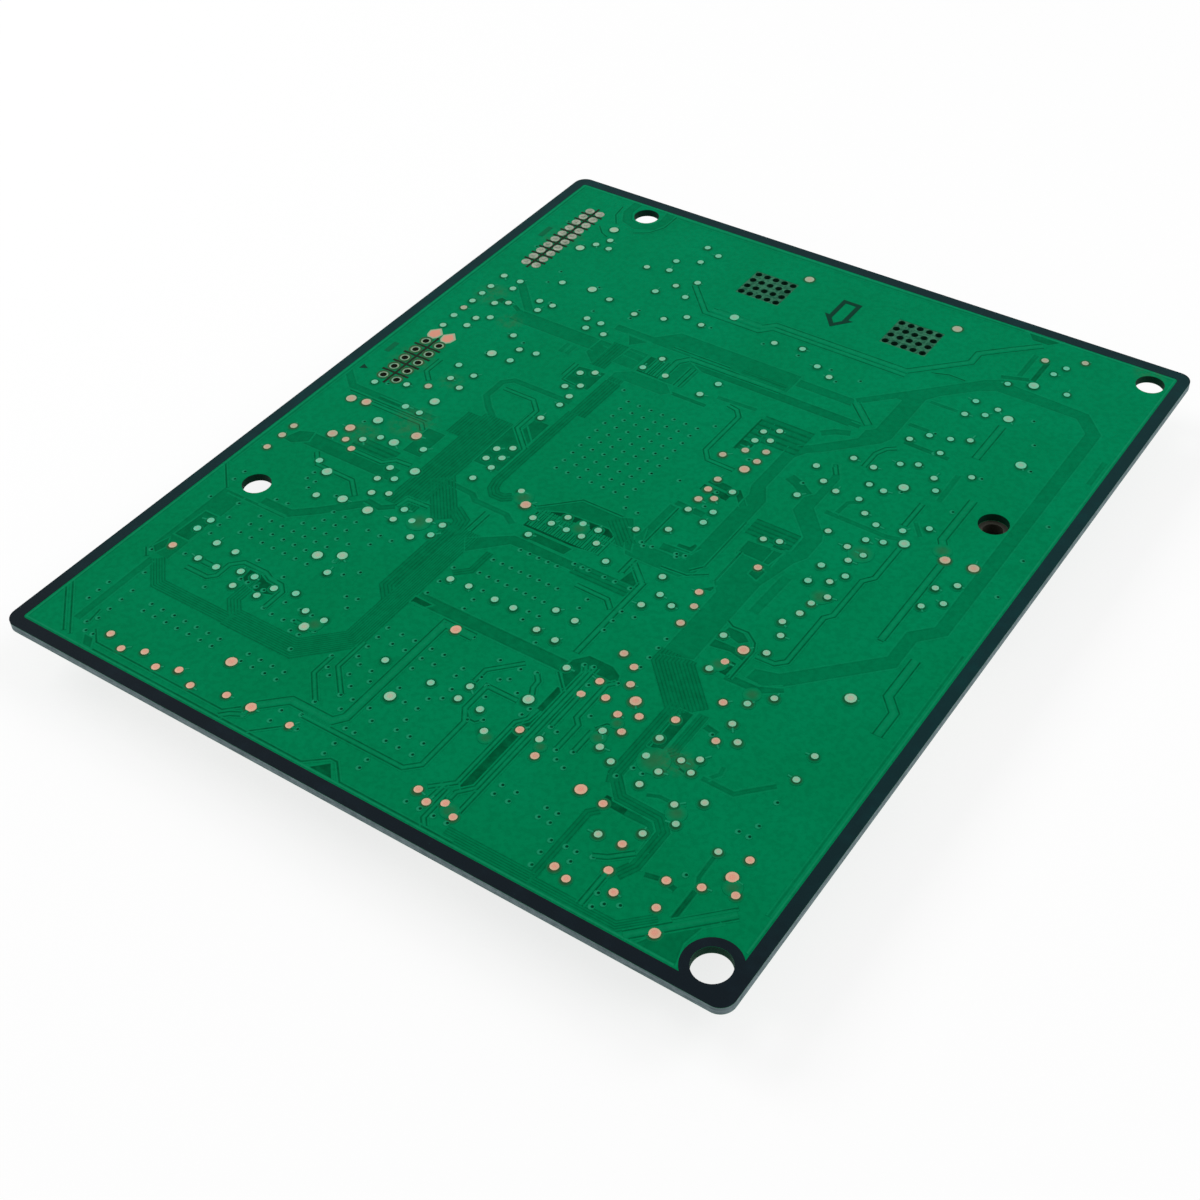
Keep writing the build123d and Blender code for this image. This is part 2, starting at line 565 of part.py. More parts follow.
def board_nodes():
    pins = header_pins()
    return {
        "laminate": [laminate()],
        "joint_side_mask": [mask(CORE_HIGH)],
        "part_side_mask": [mask(UNDER)],
        "edge_band": [edge_band()],
        "legend": legend(),
        "solder_barriers": [
            barrier(HEADER, HEADER_PITCH, HEADER_ROWS, HEADER_PAD_R),
            barrier(SPARE, SPARE_PITCH, SPARE_ROWS, SPARE_RING_R),
        ],
        "tinned_test_pads": small_pads(TINNED) + [beside(SPARE, p) * small_pad() for p in SPARE_SIDE_PADS],
        "copper_test_pads": small_pads(COPPER),
        "large_tinned_test_pads": large_pads(LARGE_TINNED),
        "large_copper_test_pads": large_pads(LARGE_COPPER),
        "solder_thieves": solder_thieves(),
        "spare_hole_barrels": spare_barrels(),
        "plug_header_joints": header_joints(pins),
        "plug_header_pins": pins,
        "plug_header_shroud": [header_shroud(pins)],
    }


def wafer_nodes():
    nodes, tabs = {}, []
    for name, (place, ways) in WAFERS.items():
        body, pins, held = wafer(place, ways, 90 if name in WAFERS_ALONG_Y else 0)
        nodes[name + "_shroud"] = [body]
        nodes[name + "_pins"] = pins
        tabs += held
    nodes["connector_tabs"] = tabs
    return nodes


def chip_nodes():
    nodes = {"processor": [processor()]}
    for name, place in DRIVERS.items():
        nodes[name] = [chip(DRIVER_X, DRIVER_Y, DRIVER_H, place)]
    nodes["program_memory"] = [chip(MEMORY_X, MEMORY_Y, MEMORY_H, PROGRAM_MEMORY)]
    for name, place in SMALL_CHIPS.items():
        nodes[name] = [chip(SMALL_CHIP_X, SMALL_CHIP_Y, SMALL_CHIP_H, place)]
    nodes["couplers"] = [chip(COUPLER_X, COUPLER_Y, COUPLER_H, place) for place in COUPLERS]
    return nodes


def power_nodes():
    return {
        "capacitor_bases": [cut_corner_block(CAN_BASE, CAN_BASE_H, CAN_BASE_CUT, p) for p in CANS],
        "capacitor_cans": [can(p) for p in CANS],
        "inductors": [cut_corner_block(INDUCTOR, INDUCTOR_H, INDUCTOR_CUT, p) for p in INDUCTORS],
        "regulator": [chip(REGULATOR_X, REGULATOR_Y, REGULATOR_H, REGULATOR)],
        "regulator_heat_tab": [heat_tab()],
        "diodes": [chip(DIODE_X, DIODE_Y, DIODE_H, p) for p in DIODES],
        "fuse": [hung(FUSE_X, FUSE_Y, FUSE_H, FUSE)],
    }


def small_nodes():
    return {
        "clock_crystal": [crystal()],
        "door_alarm_buzzer": [buzzer()],
        "transistors": transistors(),
        "chip_resistors": resistors(),
        "ceramic_capacitors": ceramics(),
        "status_lamp": [hung(LAMP_X, LAMP_Y, LAMP_H, LAMP)],
    }


os.makedirs("parts", exist_ok=True)
nodes = board_nodes() | wafer_nodes() | chip_nodes() | power_nodes() | small_nodes()
for name, shapes in nodes.items():
    solids = [solid for shape in shapes for solid in shape.solids()]
    whole = Compound(solids) if len(solids) > 1 else solids[0]
    export_step(whole, f"parts/{name}.step")
    print(name, len(solids), "solids", round(sum(s.volume for s in solids), 2), "mm3")
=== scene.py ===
# %% [markdown]
# A refrigerator control board lies with its soldered side up. The part's own solids already hold the
# laminate, the lacquer, the printed border, the pads, the plug header and the parts of the hidden side,
# so this file only dresses them: it gives every solid a finish made of nodes, and adds what is too thin
# for solids, such as the etched tracks that show through the lacquer. It starts by loading those solids
# as a fixed frame, in metres.

# %% Load the frame
import math
import random

import bmesh
import bpy
from mathutils import Matrix, Vector


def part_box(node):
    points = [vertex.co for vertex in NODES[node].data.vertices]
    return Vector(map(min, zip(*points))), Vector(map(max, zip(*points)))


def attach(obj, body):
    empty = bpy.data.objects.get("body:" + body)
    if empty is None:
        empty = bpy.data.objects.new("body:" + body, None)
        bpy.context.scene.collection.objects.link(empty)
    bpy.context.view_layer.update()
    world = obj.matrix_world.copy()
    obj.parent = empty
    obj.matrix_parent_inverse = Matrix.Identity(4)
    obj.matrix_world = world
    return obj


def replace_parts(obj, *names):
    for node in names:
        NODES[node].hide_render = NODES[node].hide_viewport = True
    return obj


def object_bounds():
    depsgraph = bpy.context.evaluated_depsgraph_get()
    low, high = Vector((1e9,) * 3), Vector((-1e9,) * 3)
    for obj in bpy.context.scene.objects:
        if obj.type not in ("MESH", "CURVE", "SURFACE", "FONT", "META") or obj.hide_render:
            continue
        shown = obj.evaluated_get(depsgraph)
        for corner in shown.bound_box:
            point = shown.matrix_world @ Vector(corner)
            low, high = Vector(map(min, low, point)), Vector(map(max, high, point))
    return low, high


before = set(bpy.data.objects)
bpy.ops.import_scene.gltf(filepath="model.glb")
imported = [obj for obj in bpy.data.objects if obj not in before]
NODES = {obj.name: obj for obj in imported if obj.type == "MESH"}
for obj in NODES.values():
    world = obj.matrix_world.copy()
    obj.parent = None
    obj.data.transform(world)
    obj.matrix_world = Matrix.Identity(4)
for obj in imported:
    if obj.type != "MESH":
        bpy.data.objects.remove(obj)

CAD_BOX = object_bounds()
MM = 0.001
print("nodes:", len(NODES), "box:", [[round(v / MM, 2) for v in corner] for corner in CAD_BOX])

# %% [markdown]
# Every place on the board is given in millimetres from its front left corner, as a drawing of the board
# would give it, and every height in millimetres above the lacquer. Two small functions turn them into
# metres, from the solids' own corners, so nothing has to be fitted by hand.

# %% Board places
CORNER, FAR_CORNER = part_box("laminate")
LACQUER_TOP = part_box("joint_side_mask")[1].z
PART_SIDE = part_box("part_side_mask")[0].z
BOARD_X = (FAR_CORNER.x - CORNER.x) / MM
BOARD_Y = (FAR_CORNER.y - CORNER.y) / MM


def on_top(x, y, height=0.0):
    """A place on the soldered side."""
    return Vector((CORNER.x + x * MM, CORNER.y + y * MM, LACQUER_TOP + height * MM))


def below(x, y, depth=0.0):
    """A place under the part side."""
    return Vector((CORNER.x + x * MM, CORNER.y + y * MM, PART_SIDE - depth * MM))


print("board:", round(BOARD_X, 2), "x", round(BOARD_Y, 2), "mm, lacquer at", round(LACQUER_TOP / MM, 2))

# %% [markdown]
# A colour is given as a screen shows it, but a shader counts light, and the two scales differ.
# One function turns the first into the second, so that every colour below can be written as it is meant
# to look.

# %% Colours
def srgb(red, green, blue):
    """A colour given as a screen shows it, 0 to 255, as the linear colour that a shader needs."""
    parts = [v / 255 for v in (red, green, blue)]
    return tuple(v / 12.92 if v <= 0.04045 else ((v + 0.055) / 1.055) ** 2.4 for v in parts) + (1.0,)


print("a middle grey as light:", [round(v, 3) for v in srgb(128, 128, 128)])

# %% [markdown]
# Shader maths reads best as ordinary Python. One small class wraps a socket, so that `a * b + 1` adds the
# Math nodes it stands for. Colours can't go through a Math node, which would turn them grey, so they go
# through `blend`, which is a Mix node. Any other node comes from `node`: its settings first, then its
# sockets.

# %% Shader expressions
class Signal:
    """One output socket of a material's node tree."""

    def __init__(self, tree, socket=None):
        self.tree = tree
        self.socket = socket

    def node(self, kind, settings=None, inputs=None, output=0):
        """Adds a node, with its settings and the values or links of its sockets, and gives one output."""
        node = self.tree.nodes.new(kind)
        for name, value in (settings or {}).items():
            setattr(node, name, value)
        for name, value in (inputs or {}).items():
            if isinstance(value, Signal):
                self.tree.links.new(value.socket, node.inputs[name])
            else:
                node.inputs[name].default_value = value
        return Signal(self.tree, node.outputs[output])

    def maths(self, operation, *values):
        return self.node("ShaderNodeMath", {"operation": operation}, dict(enumerate(values)))

    def __add__(self, other):
        return self.maths("ADD", self, other)

    def __sub__(self, other):
        return self.maths("SUBTRACT", self, other)

    def __rsub__(self, other):
        return self.maths("SUBTRACT", other, self)

    def __mul__(self, other):
        return self.maths("MULTIPLY", self, other)

    def __abs__(self):
        return self.maths("ABSOLUTE", self)

    __radd__ = __add__
    __rmul__ = __mul__

    def lesser(self, other):
        return self.maths("MINIMUM", self, other)

    def greater(self, other):
        return self.maths("MAXIMUM", self, other)

    def held(self):
        """The same value, kept between 0 and 1."""
        return self.node("ShaderNodeClamp", None, {0: self})

    def between(self, low, high):
        """0 at low and less, 1 at high and more, with a soft step between them."""
        limits = {"Value": self, "From Min": low, "From Max": high}
        return self.node("ShaderNodeMapRange", {"interpolation_type": "SMOOTHSTEP"}, limits)

    def blend(self, colour, other):
        """One colour where this value is 0, the other where it is 1."""
        return self.node("ShaderNodeMix", {"data_type": "RGBA"}, {0: self, 6: colour, 7: other}, output=2)

    def axis(self, name):
        """One part of a vector."""
        return self.node("ShaderNodeSeparateXYZ", None, {0: self}, output=name)


print("signals ready")

# %% [markdown]
# Each finish is a material with one Principled shader. What is the same all over a finish, such as its
# gloss level, is set on the shader's own socket. What changes from place to place, such as a stain or a
# scratch, is a Signal. Patterns are laid out in millimetres of the board, so that their grain has a real
# size.

# %% Finishes
class Finish:
    """A material under way: its shader, its place in millimetres and the noises that it uses."""

    def __init__(self, name, **constants):
        self.material = bpy.data.materials.new(name)
        self.material.use_nodes = True
        tree = self.material.node_tree
        self.shader = tree.nodes["Principled BSDF"]
        self.start = Signal(tree)
        for socket, value in constants.items():
            self.shader.inputs[socket.replace("_", " ")].default_value = value
        place = self.start.node("ShaderNodeTexCoord", output="Object")
        scale = {"operation": "SCALE"}
        self.place = self.start.node("ShaderNodeVectorMath", scale, {0: place, "Scale": 1 / MM})

    def noise(self, size, detail=2.0, roughness=0.5):
        """Cloudy values from 0 to 1, whose clouds are about size millimetres wide."""
        inputs = {"Vector": self.place, "Scale": 1 / size, "Detail": detail, "Roughness": roughness}
        return self.start.node("ShaderNodeTexNoise", None, inputs)

    def specks(self, size, reach):
        """1 at scattered points about size millimetres apart, falling to 0 at a share of that spacing."""
        inputs = {"Vector": self.place, "Scale": 1 / size}
        return 1 - self.start.node("ShaderNodeTexVoronoi", None, inputs).between(0.0, reach)

    def streaks(self, size, stretch):
        """Noise drawn out along one way by stretch, a factor for each axis."""
        factors = {0: self.place, 1: stretch}
        drawn = self.start.node("ShaderNodeVectorMath", {"operation": "MULTIPLY"}, factors)
        inputs = {"Vector": drawn, "Scale": 1 / size, "Detail": 3.0}
        return self.start.node("ShaderNodeTexNoise", None, inputs)

    def value(self, name):
        """A value that the mesh itself carries at each point."""
        return self.start.node("ShaderNodeAttribute", {"attribute_name": name}, output="Fac")

    def facing(self, axis):
        """How far the surface faces along an axis, from -1 to 1."""
        return self.start.node("ShaderNodeNewGeometry", output="Normal").axis(axis)

    def done(self, colour, roughness, height=None, depth=0.02, **others):
        """Links the signals into the shader. height is bump, and depth its size in millimetres."""
        wires = {"Base Color": colour, "Roughness": roughness}
        if height is not None:
            bump = {"Height": height, "Distance": depth * MM, "Strength": 1.0}
            wires["Normal"] = self.start.node("ShaderNodeBump", None, bump)
        wires |= {name.replace("_", " "): signal for name, signal in others.items()}
        for socket, signal in wires.items():
            self.start.tree.links.new(signal.socket, self.shader.inputs[socket])
        return self.material


def dress(names, material):
    """Puts one finish on solids of the frame."""
    for name in names:
        NODES[name].data.materials.clear()
        NODES[name].data.materials.append(material)


print("finishes ready")

# %% [markdown]
# The green lacquer is glassy paint over etched copper. Where copper lies under it the green is lighter,
# and where the copper was etched away it is darker, so one value, etch, tells the shader how much of the
# copper is gone. Past 1 it stands for a hole, and under 0 for an edge that catches the light. A second
# value, stain, browns the lacquer where soldering flux was baked on, and a few larger patches of flux are
# listed.

# %% Green lacquer
LACQUER_OVER_COPPER = srgb(0, 129, 80)
# paler lacquer: random worn patches, and the painted sheen towards the back
LACQUER_WORN_AND_SHEEN = srgb(0, 138, 90)
LACQUER_OVER_GLASS = srgb(0, 84, 50)
# a painted highlight where the etch is under 0, and the colour of pale dust specks
LACQUER_HIGHLIGHT_AND_DUST = srgb(44, 156, 118)
LACQUER_HOLE = srgb(4, 40, 28)
FLUX_BROWN = srgb(84, 86, 58)
FLUX_PATCHES = [  # place, reach
    ((8.6, 112.5), 4.6), ((8.9, 72.8), 4.4), ((19, 60.5), 4.6), ((86.3, 26.2), 3), ((8.5, 93), 3.6),
    ((104.4, 127.6), 3.4), ((17.4, 71.4), 2.4), ((14.4, 54.6), 3.4), ((15.6, 88.4), 2.6),
]


def patch(finish, place, reach):
    """1 at a place of the board, fading to 0 at reach millimetres from it."""
    ends = {0: finish.place, 1: on_top(*place) / MM}
    away = finish.start.node("ShaderNodeVectorMath", {"operation": "DISTANCE"}, ends, output="Value")
    return 1 - away.between(reach * 0.35, reach)


def green_lacquer():
    finish = Finish("solder_mask", Specular_IOR_Level=0.008)
    clouds = finish.noise(14.0, 3.0)
    grain = finish.noise(0.35, 2.0)
    peel = finish.noise(1.1, 3.0, 0.6)
    etch = finish.value("etch")
    etch = etch.lesser(0.0) + etch.greater(0.0) * (0.35 + peel * 1.3)
    # painted sheen: towards the back the green is blended paler and bluer, as the sky's reflection
    back = finish.place.axis("Y").between(-75.0, 75.0)
    colour = (clouds.between(0.3, 0.75) * 0.5 + back * 0.6).held().blend(LACQUER_OVER_COPPER, LACQUER_WORN_AND_SHEEN)
    wisps = finish.noise(0.75, 4.0, 0.65)
    colour = (wisps.between(0.4, 0.64) * 0.2).blend(colour, LACQUER_OVER_GLASS)
    colour = etch.held().blend(colour, LACQUER_OVER_GLASS)
    colour = (etch - 1).held().blend(colour, LACQUER_HOLE)
    # painted highlight: where etch is under 0 the lacquer is paler, as a lit edge
    colour = (0 - etch).held().blend(colour, LACQUER_HIGHLIGHT_AND_DUST)
    stain = finish.value("stain")
    crust = finish.noise(0.8, 4.0, 0.65).between(0.35, 0.7) * 0.22
    for place, reach in FLUX_PATCHES:
        stain = stain + patch(finish, place, reach) * crust
    colour = (stain * (0.7 + grain * 0.6)).held().blend(colour, FLUX_BROWN)
    dust = finish.specks(1.6, 0.09) * finish.noise(9.0).between(0.5, 0.7)
    colour = (dust * 0.16).blend(colour, LACQUER_HIGHLIGHT_AND_DUST)
    return finish.done(colour, 0.42 + grain * 0.12 + stain * 0.1, grain * 0.3 + peel * 0.8, 0.07)


LACQUER = green_lacquer()
dress(["joint_side_mask", "part_side_mask"], LACQUER)
print("lacquer on both sides, patches of flux:", len(FLUX_PATCHES))

# %% [markdown]
# The border is dark printing ink, a little blue. Everywhere but at the front it carries a painted sheen,
# which makes it paler and greener. The arrow and marks are printed in a thinner ink, so the green shows
# through, and the lines between the plug holes are browned by the solder bath. All three have the same
# fine tooth, so one function makes them, and each ink brings only its own tint.

# %% Printing inks
def printed(name, tint, tooth_size=0.28):
    """An ink with a fine tooth. tint works out its colour from the finish and the tooth."""
    finish = Finish(name, Specular_IOR_Level=0.05)
    tooth = finish.noise(tooth_size, 2.0)
    return finish.done(tint(finish, tooth), 0.5 + tooth * 0.2, tooth, 0.01)


def chipped(finish, shade, colour):
    """Tiny flakes of another colour."""
    return (finish.specks(2.4, 0.05) * 0.5).blend(shade, colour)


def border_tint(finish, tooth):
    y = finish.place.axis("Y")
    patches = finish.noise(3.5, 4.0, 0.65).between(0.45, 0.78)
    at_sides = abs(finish.place.axis("X")).between(48.0, 53.0)
    # painted sheen: the ink is paler and greener towards the back and along the sides
    painted_sheen = (y.between(-60.0, 20.0) * 0.7 + at_sides * y.between(-64.0, -44.0) * 0.5).held()
    shade = (patches * 0.5 + tooth * 0.25).held().blend(srgb(15, 24, 30), srgb(22, 36, 44))
    shade = (painted_sheen * (0.65 + patches * 0.35)).blend(shade, srgb(12, 53, 54))
    return chipped(finish, shade, srgb(34, 66, 66))


def barrier_tint(finish, tooth):
    patches = finish.noise(3.5, 4.0, 0.65).between(0.52, 0.78) * 0.5
    worn = srgb(44, 56, 36)
    return chipped(finish, (patches + tooth * 0.25).held().blend(srgb(20, 34, 22), worn), worn)


def legend_tint(finish, tooth):
    """Worn down to a shade of the lacquer on the two oblong marks."""
    worn = (patch(finish, (4.3, 73.5), 4.4) + patch(finish, (4.9, 112.5), 5.0)).held()
    fresh = tooth.blend(srgb(0, 44, 34), srgb(0, 66, 46))
    return worn.blend(fresh, tooth.blend(srgb(0, 98, 62), srgb(0, 108, 70)))


dress(["edge_band"], printed("band_ink", border_tint))
dress(["legend"], printed("legend_ink", legend_tint, 0.3))
dress(["solder_barriers"], printed("barrier_ink", barrier_tint))
print("inks on border, legend and barriers")

# %% [markdown]
# The laminate is woven glass in epoxy. Its faces show a faint weave in the two vent windows, where the
# lacquer is left off. Its outer edge was cut, so it is pale and dusty and shows the layers of cloth. Its
# drilled holes' walls are painted dark green, as painted shade with the green that they reflect. All of
# it is one solid, so the finish tells the three apart by where a point lies and which way it faces.

# %% Laminate
CUT_SKIN = 0.7  # millimetres from the outline within which an upright face belongs to the cut edge


def laminate():
    finish = Finish("laminate", Specular_IOR_Level=0.08)
    weave = finish.streaks(0.5, (1.0, 0.15, 1.0)) * 0.5 + finish.streaks(0.5, (0.15, 1.0, 1.0)) * 0.5
    layers = finish.streaks(0.16, (0.05, 0.05, 1.0))
    outside = [
        abs(finish.place.axis(axis)).between(size / 2 - CUT_SKIN, size / 2 - CUT_SKIN + 0.1)
        for axis, size in (("X", BOARD_X), ("Y", BOARD_Y))
    ]
    fibres = (weave + finish.noise(0.4, 3.0) * 0.8 - 0.4).between(0.3, 0.7)
    face = fibres.blend(srgb(20, 84, 60), srgb(56, 122, 92))
    # painted shade: the walls of the drilled holes, dark, with the green that they reflect
    wall = finish.noise(0.6).blend(srgb(2, 40, 28), srgb(8, 58, 40))
    dust = (layers * 0.6 + finish.noise(0.8, 4.0) * 0.4).between(0.3, 0.7)
    cut = dust.blend(srgb(96, 114, 118), srgb(138, 156, 160))
    upright = 1 - finish.facing("Z").between(0.3, 0.6)
    colour = upright.blend(face, (outside[0] + outside[1]).held().blend(wall, cut))
    return finish.done(colour, 0.55 + weave * 0.25, weave + layers * 0.5, 0.02)


dress(["laminate"], laminate())
print("laminate: faces, hole walls and cut edge")

# %% [markdown]
# Small metal faces are never even: solder is cloudy and dimpled, and pins show the draw marks of their
# wire. One function makes these metals, from two colours and a metal share. The open plated holes have a
# finish of their own, because their rings are bright with tin and their walls dark with oxide.

# %% Metals
def metal(name, colour, bloom, share=0.6, roughness=0.4, grain=0.25, stretch=(1.0, 1.0, 1.0)):
    """Clouds of two colours, with a fine grain that stretch can draw out into wire marks."""
    finish = Finish(name)
    cloud = finish.noise(1.3, 3.0, 0.6)
    fine = finish.streaks(grain, stretch)
    shade = cloud.between(0.35, 0.7).blend(colour, bloom)
    tone = (fine * 0.35).blend(shade, srgb(60, 56, 48))
    return finish.done(tone, roughness + fine * 0.25, fine, 0.01, Metallic=share - cloud * 0.15)


def plated_hole():
    """A tinned ring on each face, and a wall that oxide has darkened."""
    finish = Finish("plated_hole", Specular_IOR_Level=0.2)
    cloud = finish.noise(0.6, 3.0)
    ring = cloud.between(0.3, 0.7).blend(srgb(104, 160, 130), srgb(142, 166, 134))
    wall = cloud.blend(srgb(24, 32, 18), srgb(50, 50, 32))
    upright = 1 - abs(finish.facing("Z")).between(0.3, 0.6)
    colour = upright.blend(ring, wall)
    return finish.done(colour, 0.4 + cloud * 0.2, cloud, 0.01, Metallic=0.25 - upright * 0.2)


PIN_METAL = metal("pin_metal", srgb(176, 178, 160), srgb(140, 146, 128), 0.7, 0.35, 0.2, (1.0, 1.0, 0.12))
dress(["spare_hole_barrels"], plated_hole())
dress([name for name in NODES if name.endswith("_pins")], PIN_METAL)
TAB_METAL = metal("tab_metal", srgb(188, 190, 186), srgb(160, 162, 158), 0.85, 0.3)
dress(["connector_tabs", "regulator_heat_tab"], TAB_METAL)
print("metals on pins, tabs and plated holes")

# %% [markdown]
# Much of what shows on the board is only some hundredths of a millimetre high: pads, tracks, the ring
# round a via. Such forms could come from a height map, but an image is out of place here, so they are
# thin meshes. One class gathers many of them in one mesh, from rows of points, and keeps named values at
# each point, which the finishes read.

# %% Relief meshes
def on_board(name, mesh, material):
    """A new piece with this mesh and finish, which moves with the board."""
    mesh.materials.append(material)
    piece = bpy.data.objects.new(name, mesh)
    bpy.context.scene.collection.objects.link(piece)
    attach(piece, "root")
    print(name, len(mesh.polygons), "faces")
    return piece


class Relief:
    """A mesh of thin forms on the board, with named values at its points."""

    STEP = 0.0001  # millimetres between the heights of two strips, so that no two lie in one plane

    def __init__(self, *names):
        self.points = []
        self.faces = []
        self.values = {name: [] for name in names}
        self.layers = 0

    def row(self, places, **values):
        """Adds points and gives their numbers."""
        first = len(self.points)
        self.points += places
        for name, held in self.values.items():
            held += [values.get(name, 0.0)] * len(places)
        return list(range(first, len(self.points)))

    def band(self, row, other, closed=True):
        """Joins two rows of as many points by a band of faces."""
        for n in range(len(row) if closed else len(row) - 1):
            after = (n + 1) % len(row)
            self.faces.append((row[n], row[after], other[after], other[n]))

    def rosette(self, place, rings, sides=24, side=1, **values):
        """A round form: rings of (radius, height and any values), from the outer one to the middle."""
        lift = (self.layers + 5) * self.STEP
        lay = on_top if side > 0 else below
        turns = [math.tau * n / sides for n in range(sides)]
        rows = []
        for radius, height, *more in rings:
            spots = [(place[0] + radius * math.cos(t), place[1] + radius * math.sin(t)) for t in turns]
            own = dict(zip(self.values, more)) | values
            rows.append(self.row([lay(x, y, height + lift) for x, y in spots], **own))
        for row, other in zip(rows, rows[1:]):
            self.band(row, other) if side > 0 else self.band(other, row)
        self.faces.append(tuple(rows[-1] if side > 0 else reversed(rows[-1])))

    def made(self, name, material):
        """The finished piece."""
        mesh = bpy.data.meshes.new(name)
        mesh.from_pydata([tuple(p) for p in self.points], [], self.faces)
        for value, held in self.values.items():
            mesh.attributes.new(value, "FLOAT", "POINT").data.foreach_set("value", held)
        mesh.polygons.foreach_set("use_smooth", [True] * len(mesh.polygons))
        return on_board(name, mesh, material)


print("relief ready")

# %% [markdown]
# A node of the frame can hold many separate solids, such as all the pads of a kind. To dress each one by
# itself, its points are gathered from neighbour to neighbour, after the doubled corners are welded. Its
# middle and width then come from its own box, so that no place is written down twice.

# %% Separate solids
WELD = 1e-6  # metres


def islands(name):
    """The points of each separate solid of a node, in metres."""
    mesh = bmesh.new()
    mesh.from_mesh(NODES[name].data)
    bmesh.ops.remove_doubles(mesh, verts=mesh.verts, dist=WELD)
    left = set(mesh.verts)
    found = []
    for start in list(mesh.verts):
        if start in left:
            left.discard(start)
            island = [start]
            for vert in island:
                near = [edge.other_vert(vert) for edge in vert.link_edges]
                near = [other for other in near if other in left]
                left.difference_update(near)
                island += near
            found.append([vert.co.copy() for vert in island])
    mesh.free()
    return found


def solids(name):
    """The lowest and the highest corner of each separate solid of a node, in metres."""
    found = [
        tuple(Vector([pick(point[n] for point in island) for n in range(3)]) for pick in (min, max))
        for island in islands(name)
    ]
    return sorted(found, key=lambda box: tuple(box[0]))


def in_plan(box):
    """The middle of a solid and half its width, in board millimetres."""
    low, high = box
    middle = (low + high) / 2 - CORNER
    return middle.x / MM, middle.y / MM, (high.x - low.x) / 2 / MM


PADS = {name: [in_plan(box) for box in solids(name)] for name in NODES if name.endswith("test_pads")}
print({name: len(found) for name, found in PADS.items()})

# %% [markdown]
# The test pads are the spots of copper that a tester's needles touch. Each solid is a flat plate, but the
# real pad is a shallow dome with a soft edge, so one mesh of domes stands for all the pads of a kind. It
# is made from rings, and carries two values for the shader: rim, which is 0 in the middle and 1 at the
# edge, and tint, which is one number for each pad and says how far the copper shows through its tin.

# %% Test pads
# share of the radius, height, rim
PAD_DOME = [(1.0, 0.006, 1.0), (0.9, 0.03, 0.85), (0.74, 0.05, 0.6), (0.45, 0.06, 0.3), (0.2, 0.062, 0.0)]


def pad_metal(name, cold, warm, cold_rim, warm_rim, dark_rim):
    """Thin tin over copper, pale to warm with tint, with a paler ring inside a dark rim."""
    finish = Finish(name, Specular_IOR_Level=0.3)
    rim = finish.value("rim")
    cloud = finish.noise(0.45, 2.0)
    warmth = (finish.value("tint") + cloud * 0.5 - 0.25).held()
    ring = (rim + cloud * 0.3 - 0.15).between(0.1, 0.6)
    colour = ring.blend(warmth.blend(cold, warm), warmth.blend(cold_rim, warm_rim))
    colour = ((rim + cloud * 0.2 - 0.1).between(0.84, 1.02) * 0.7).blend(colour, dark_rim)
    return finish.done(colour, 0.4 + cloud * 0.2, cloud, 0.012, Metallic=0.25 - rim * 0.2)


def pads(name, node, material, warmth, more):
    """Domes in place of a node's flat pads, each as warm as its place makes it and a little more."""
    relief = Relief("rim", "tint")
    dice = random.Random(name)
    for x, y, radius in PADS[node]:
        warm = warmth(x / BOARD_X, y / BOARD_Y) + more + dice.uniform(-0.18, 0.18)
        size = radius * dice.uniform(1.04, 1.12)
        rings = [(size * share, height, rim) for share, height, rim in PAD_DOME]
        relief.rosette((x, y), rings, tint=min(1.0, max(0.0, warm)))
    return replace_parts(relief.made(name, material), node)


def tin_warmth(u, v):
    """The tin is thinnest at the front right, where more copper shows. u and v run over the board."""
    return 0.4 + 1.6 * (u - 0.25) * (0.5 - v)


def copper_warmth(u, v):
    """The copper is freshest at the front, and dulled towards the back and the left."""
    return 1.08 - 1.35 * v - 0.6 * max(0.0, 0.4 - u)


TIN = pad_metal(
    "tinned_pad", cold=srgb(98, 182, 150), warm=srgb(176, 178, 152), cold_rim=srgb(72, 200, 160),
    warm_rim=srgb(142, 196, 162), dark_rim=srgb(10, 108, 72),
)
COPPER = pad_metal(
    "copper_pad", cold=srgb(172, 160, 136), warm=srgb(222, 154, 130), cold_rim=srgb(148, 178, 148),
    warm_rim=srgb(216, 174, 144), dark_rim=srgb(60, 92, 58),
)
for name, node, warmth, more in (
    ("small_tinned_pads", "tinned_test_pads", tin_warmth, 0.0),
    ("large_tinned_pads", "large_tinned_test_pads", tin_warmth, 0.2),
    ("small_copper_pads", "copper_test_pads", copper_warmth, 0.0),
    ("large_copper_pads", "large_copper_test_pads", copper_warmth, 0.12),
):
    material, slot = (TIN, "tinned_pad") if warmth is tin_warmth else (COPPER, "bare_copper")
    pads(name, node, material, warmth, more)

# %% [markdown]
# The two copper fields past the open plug pattern caught the last of the solder wave. Each is drawn like
# a pad, from its own outline: a flat middle of bright copper in a soft grey rim of tin.

# %% Copper fields of the plug pattern
FIELD_DOME = [(1.03, 0.004, 1), (0.94, 0.03, 0.8), (0.82, 0.045, 0.55), (0.68, 0.05, 0.1), (0.3, 0.052, 0)]
FIELD_TINT = 0.9


def shrunk(outline, share, height):
    """An outline of the lacquer's plane drawn in to a share of its size."""
    middle = sum(outline, Vector()) / len(outline)
    low = on_top(0, 0, height).z
    return [Vector((*(middle + (point - middle) * share).xy, low)) for point in outline]


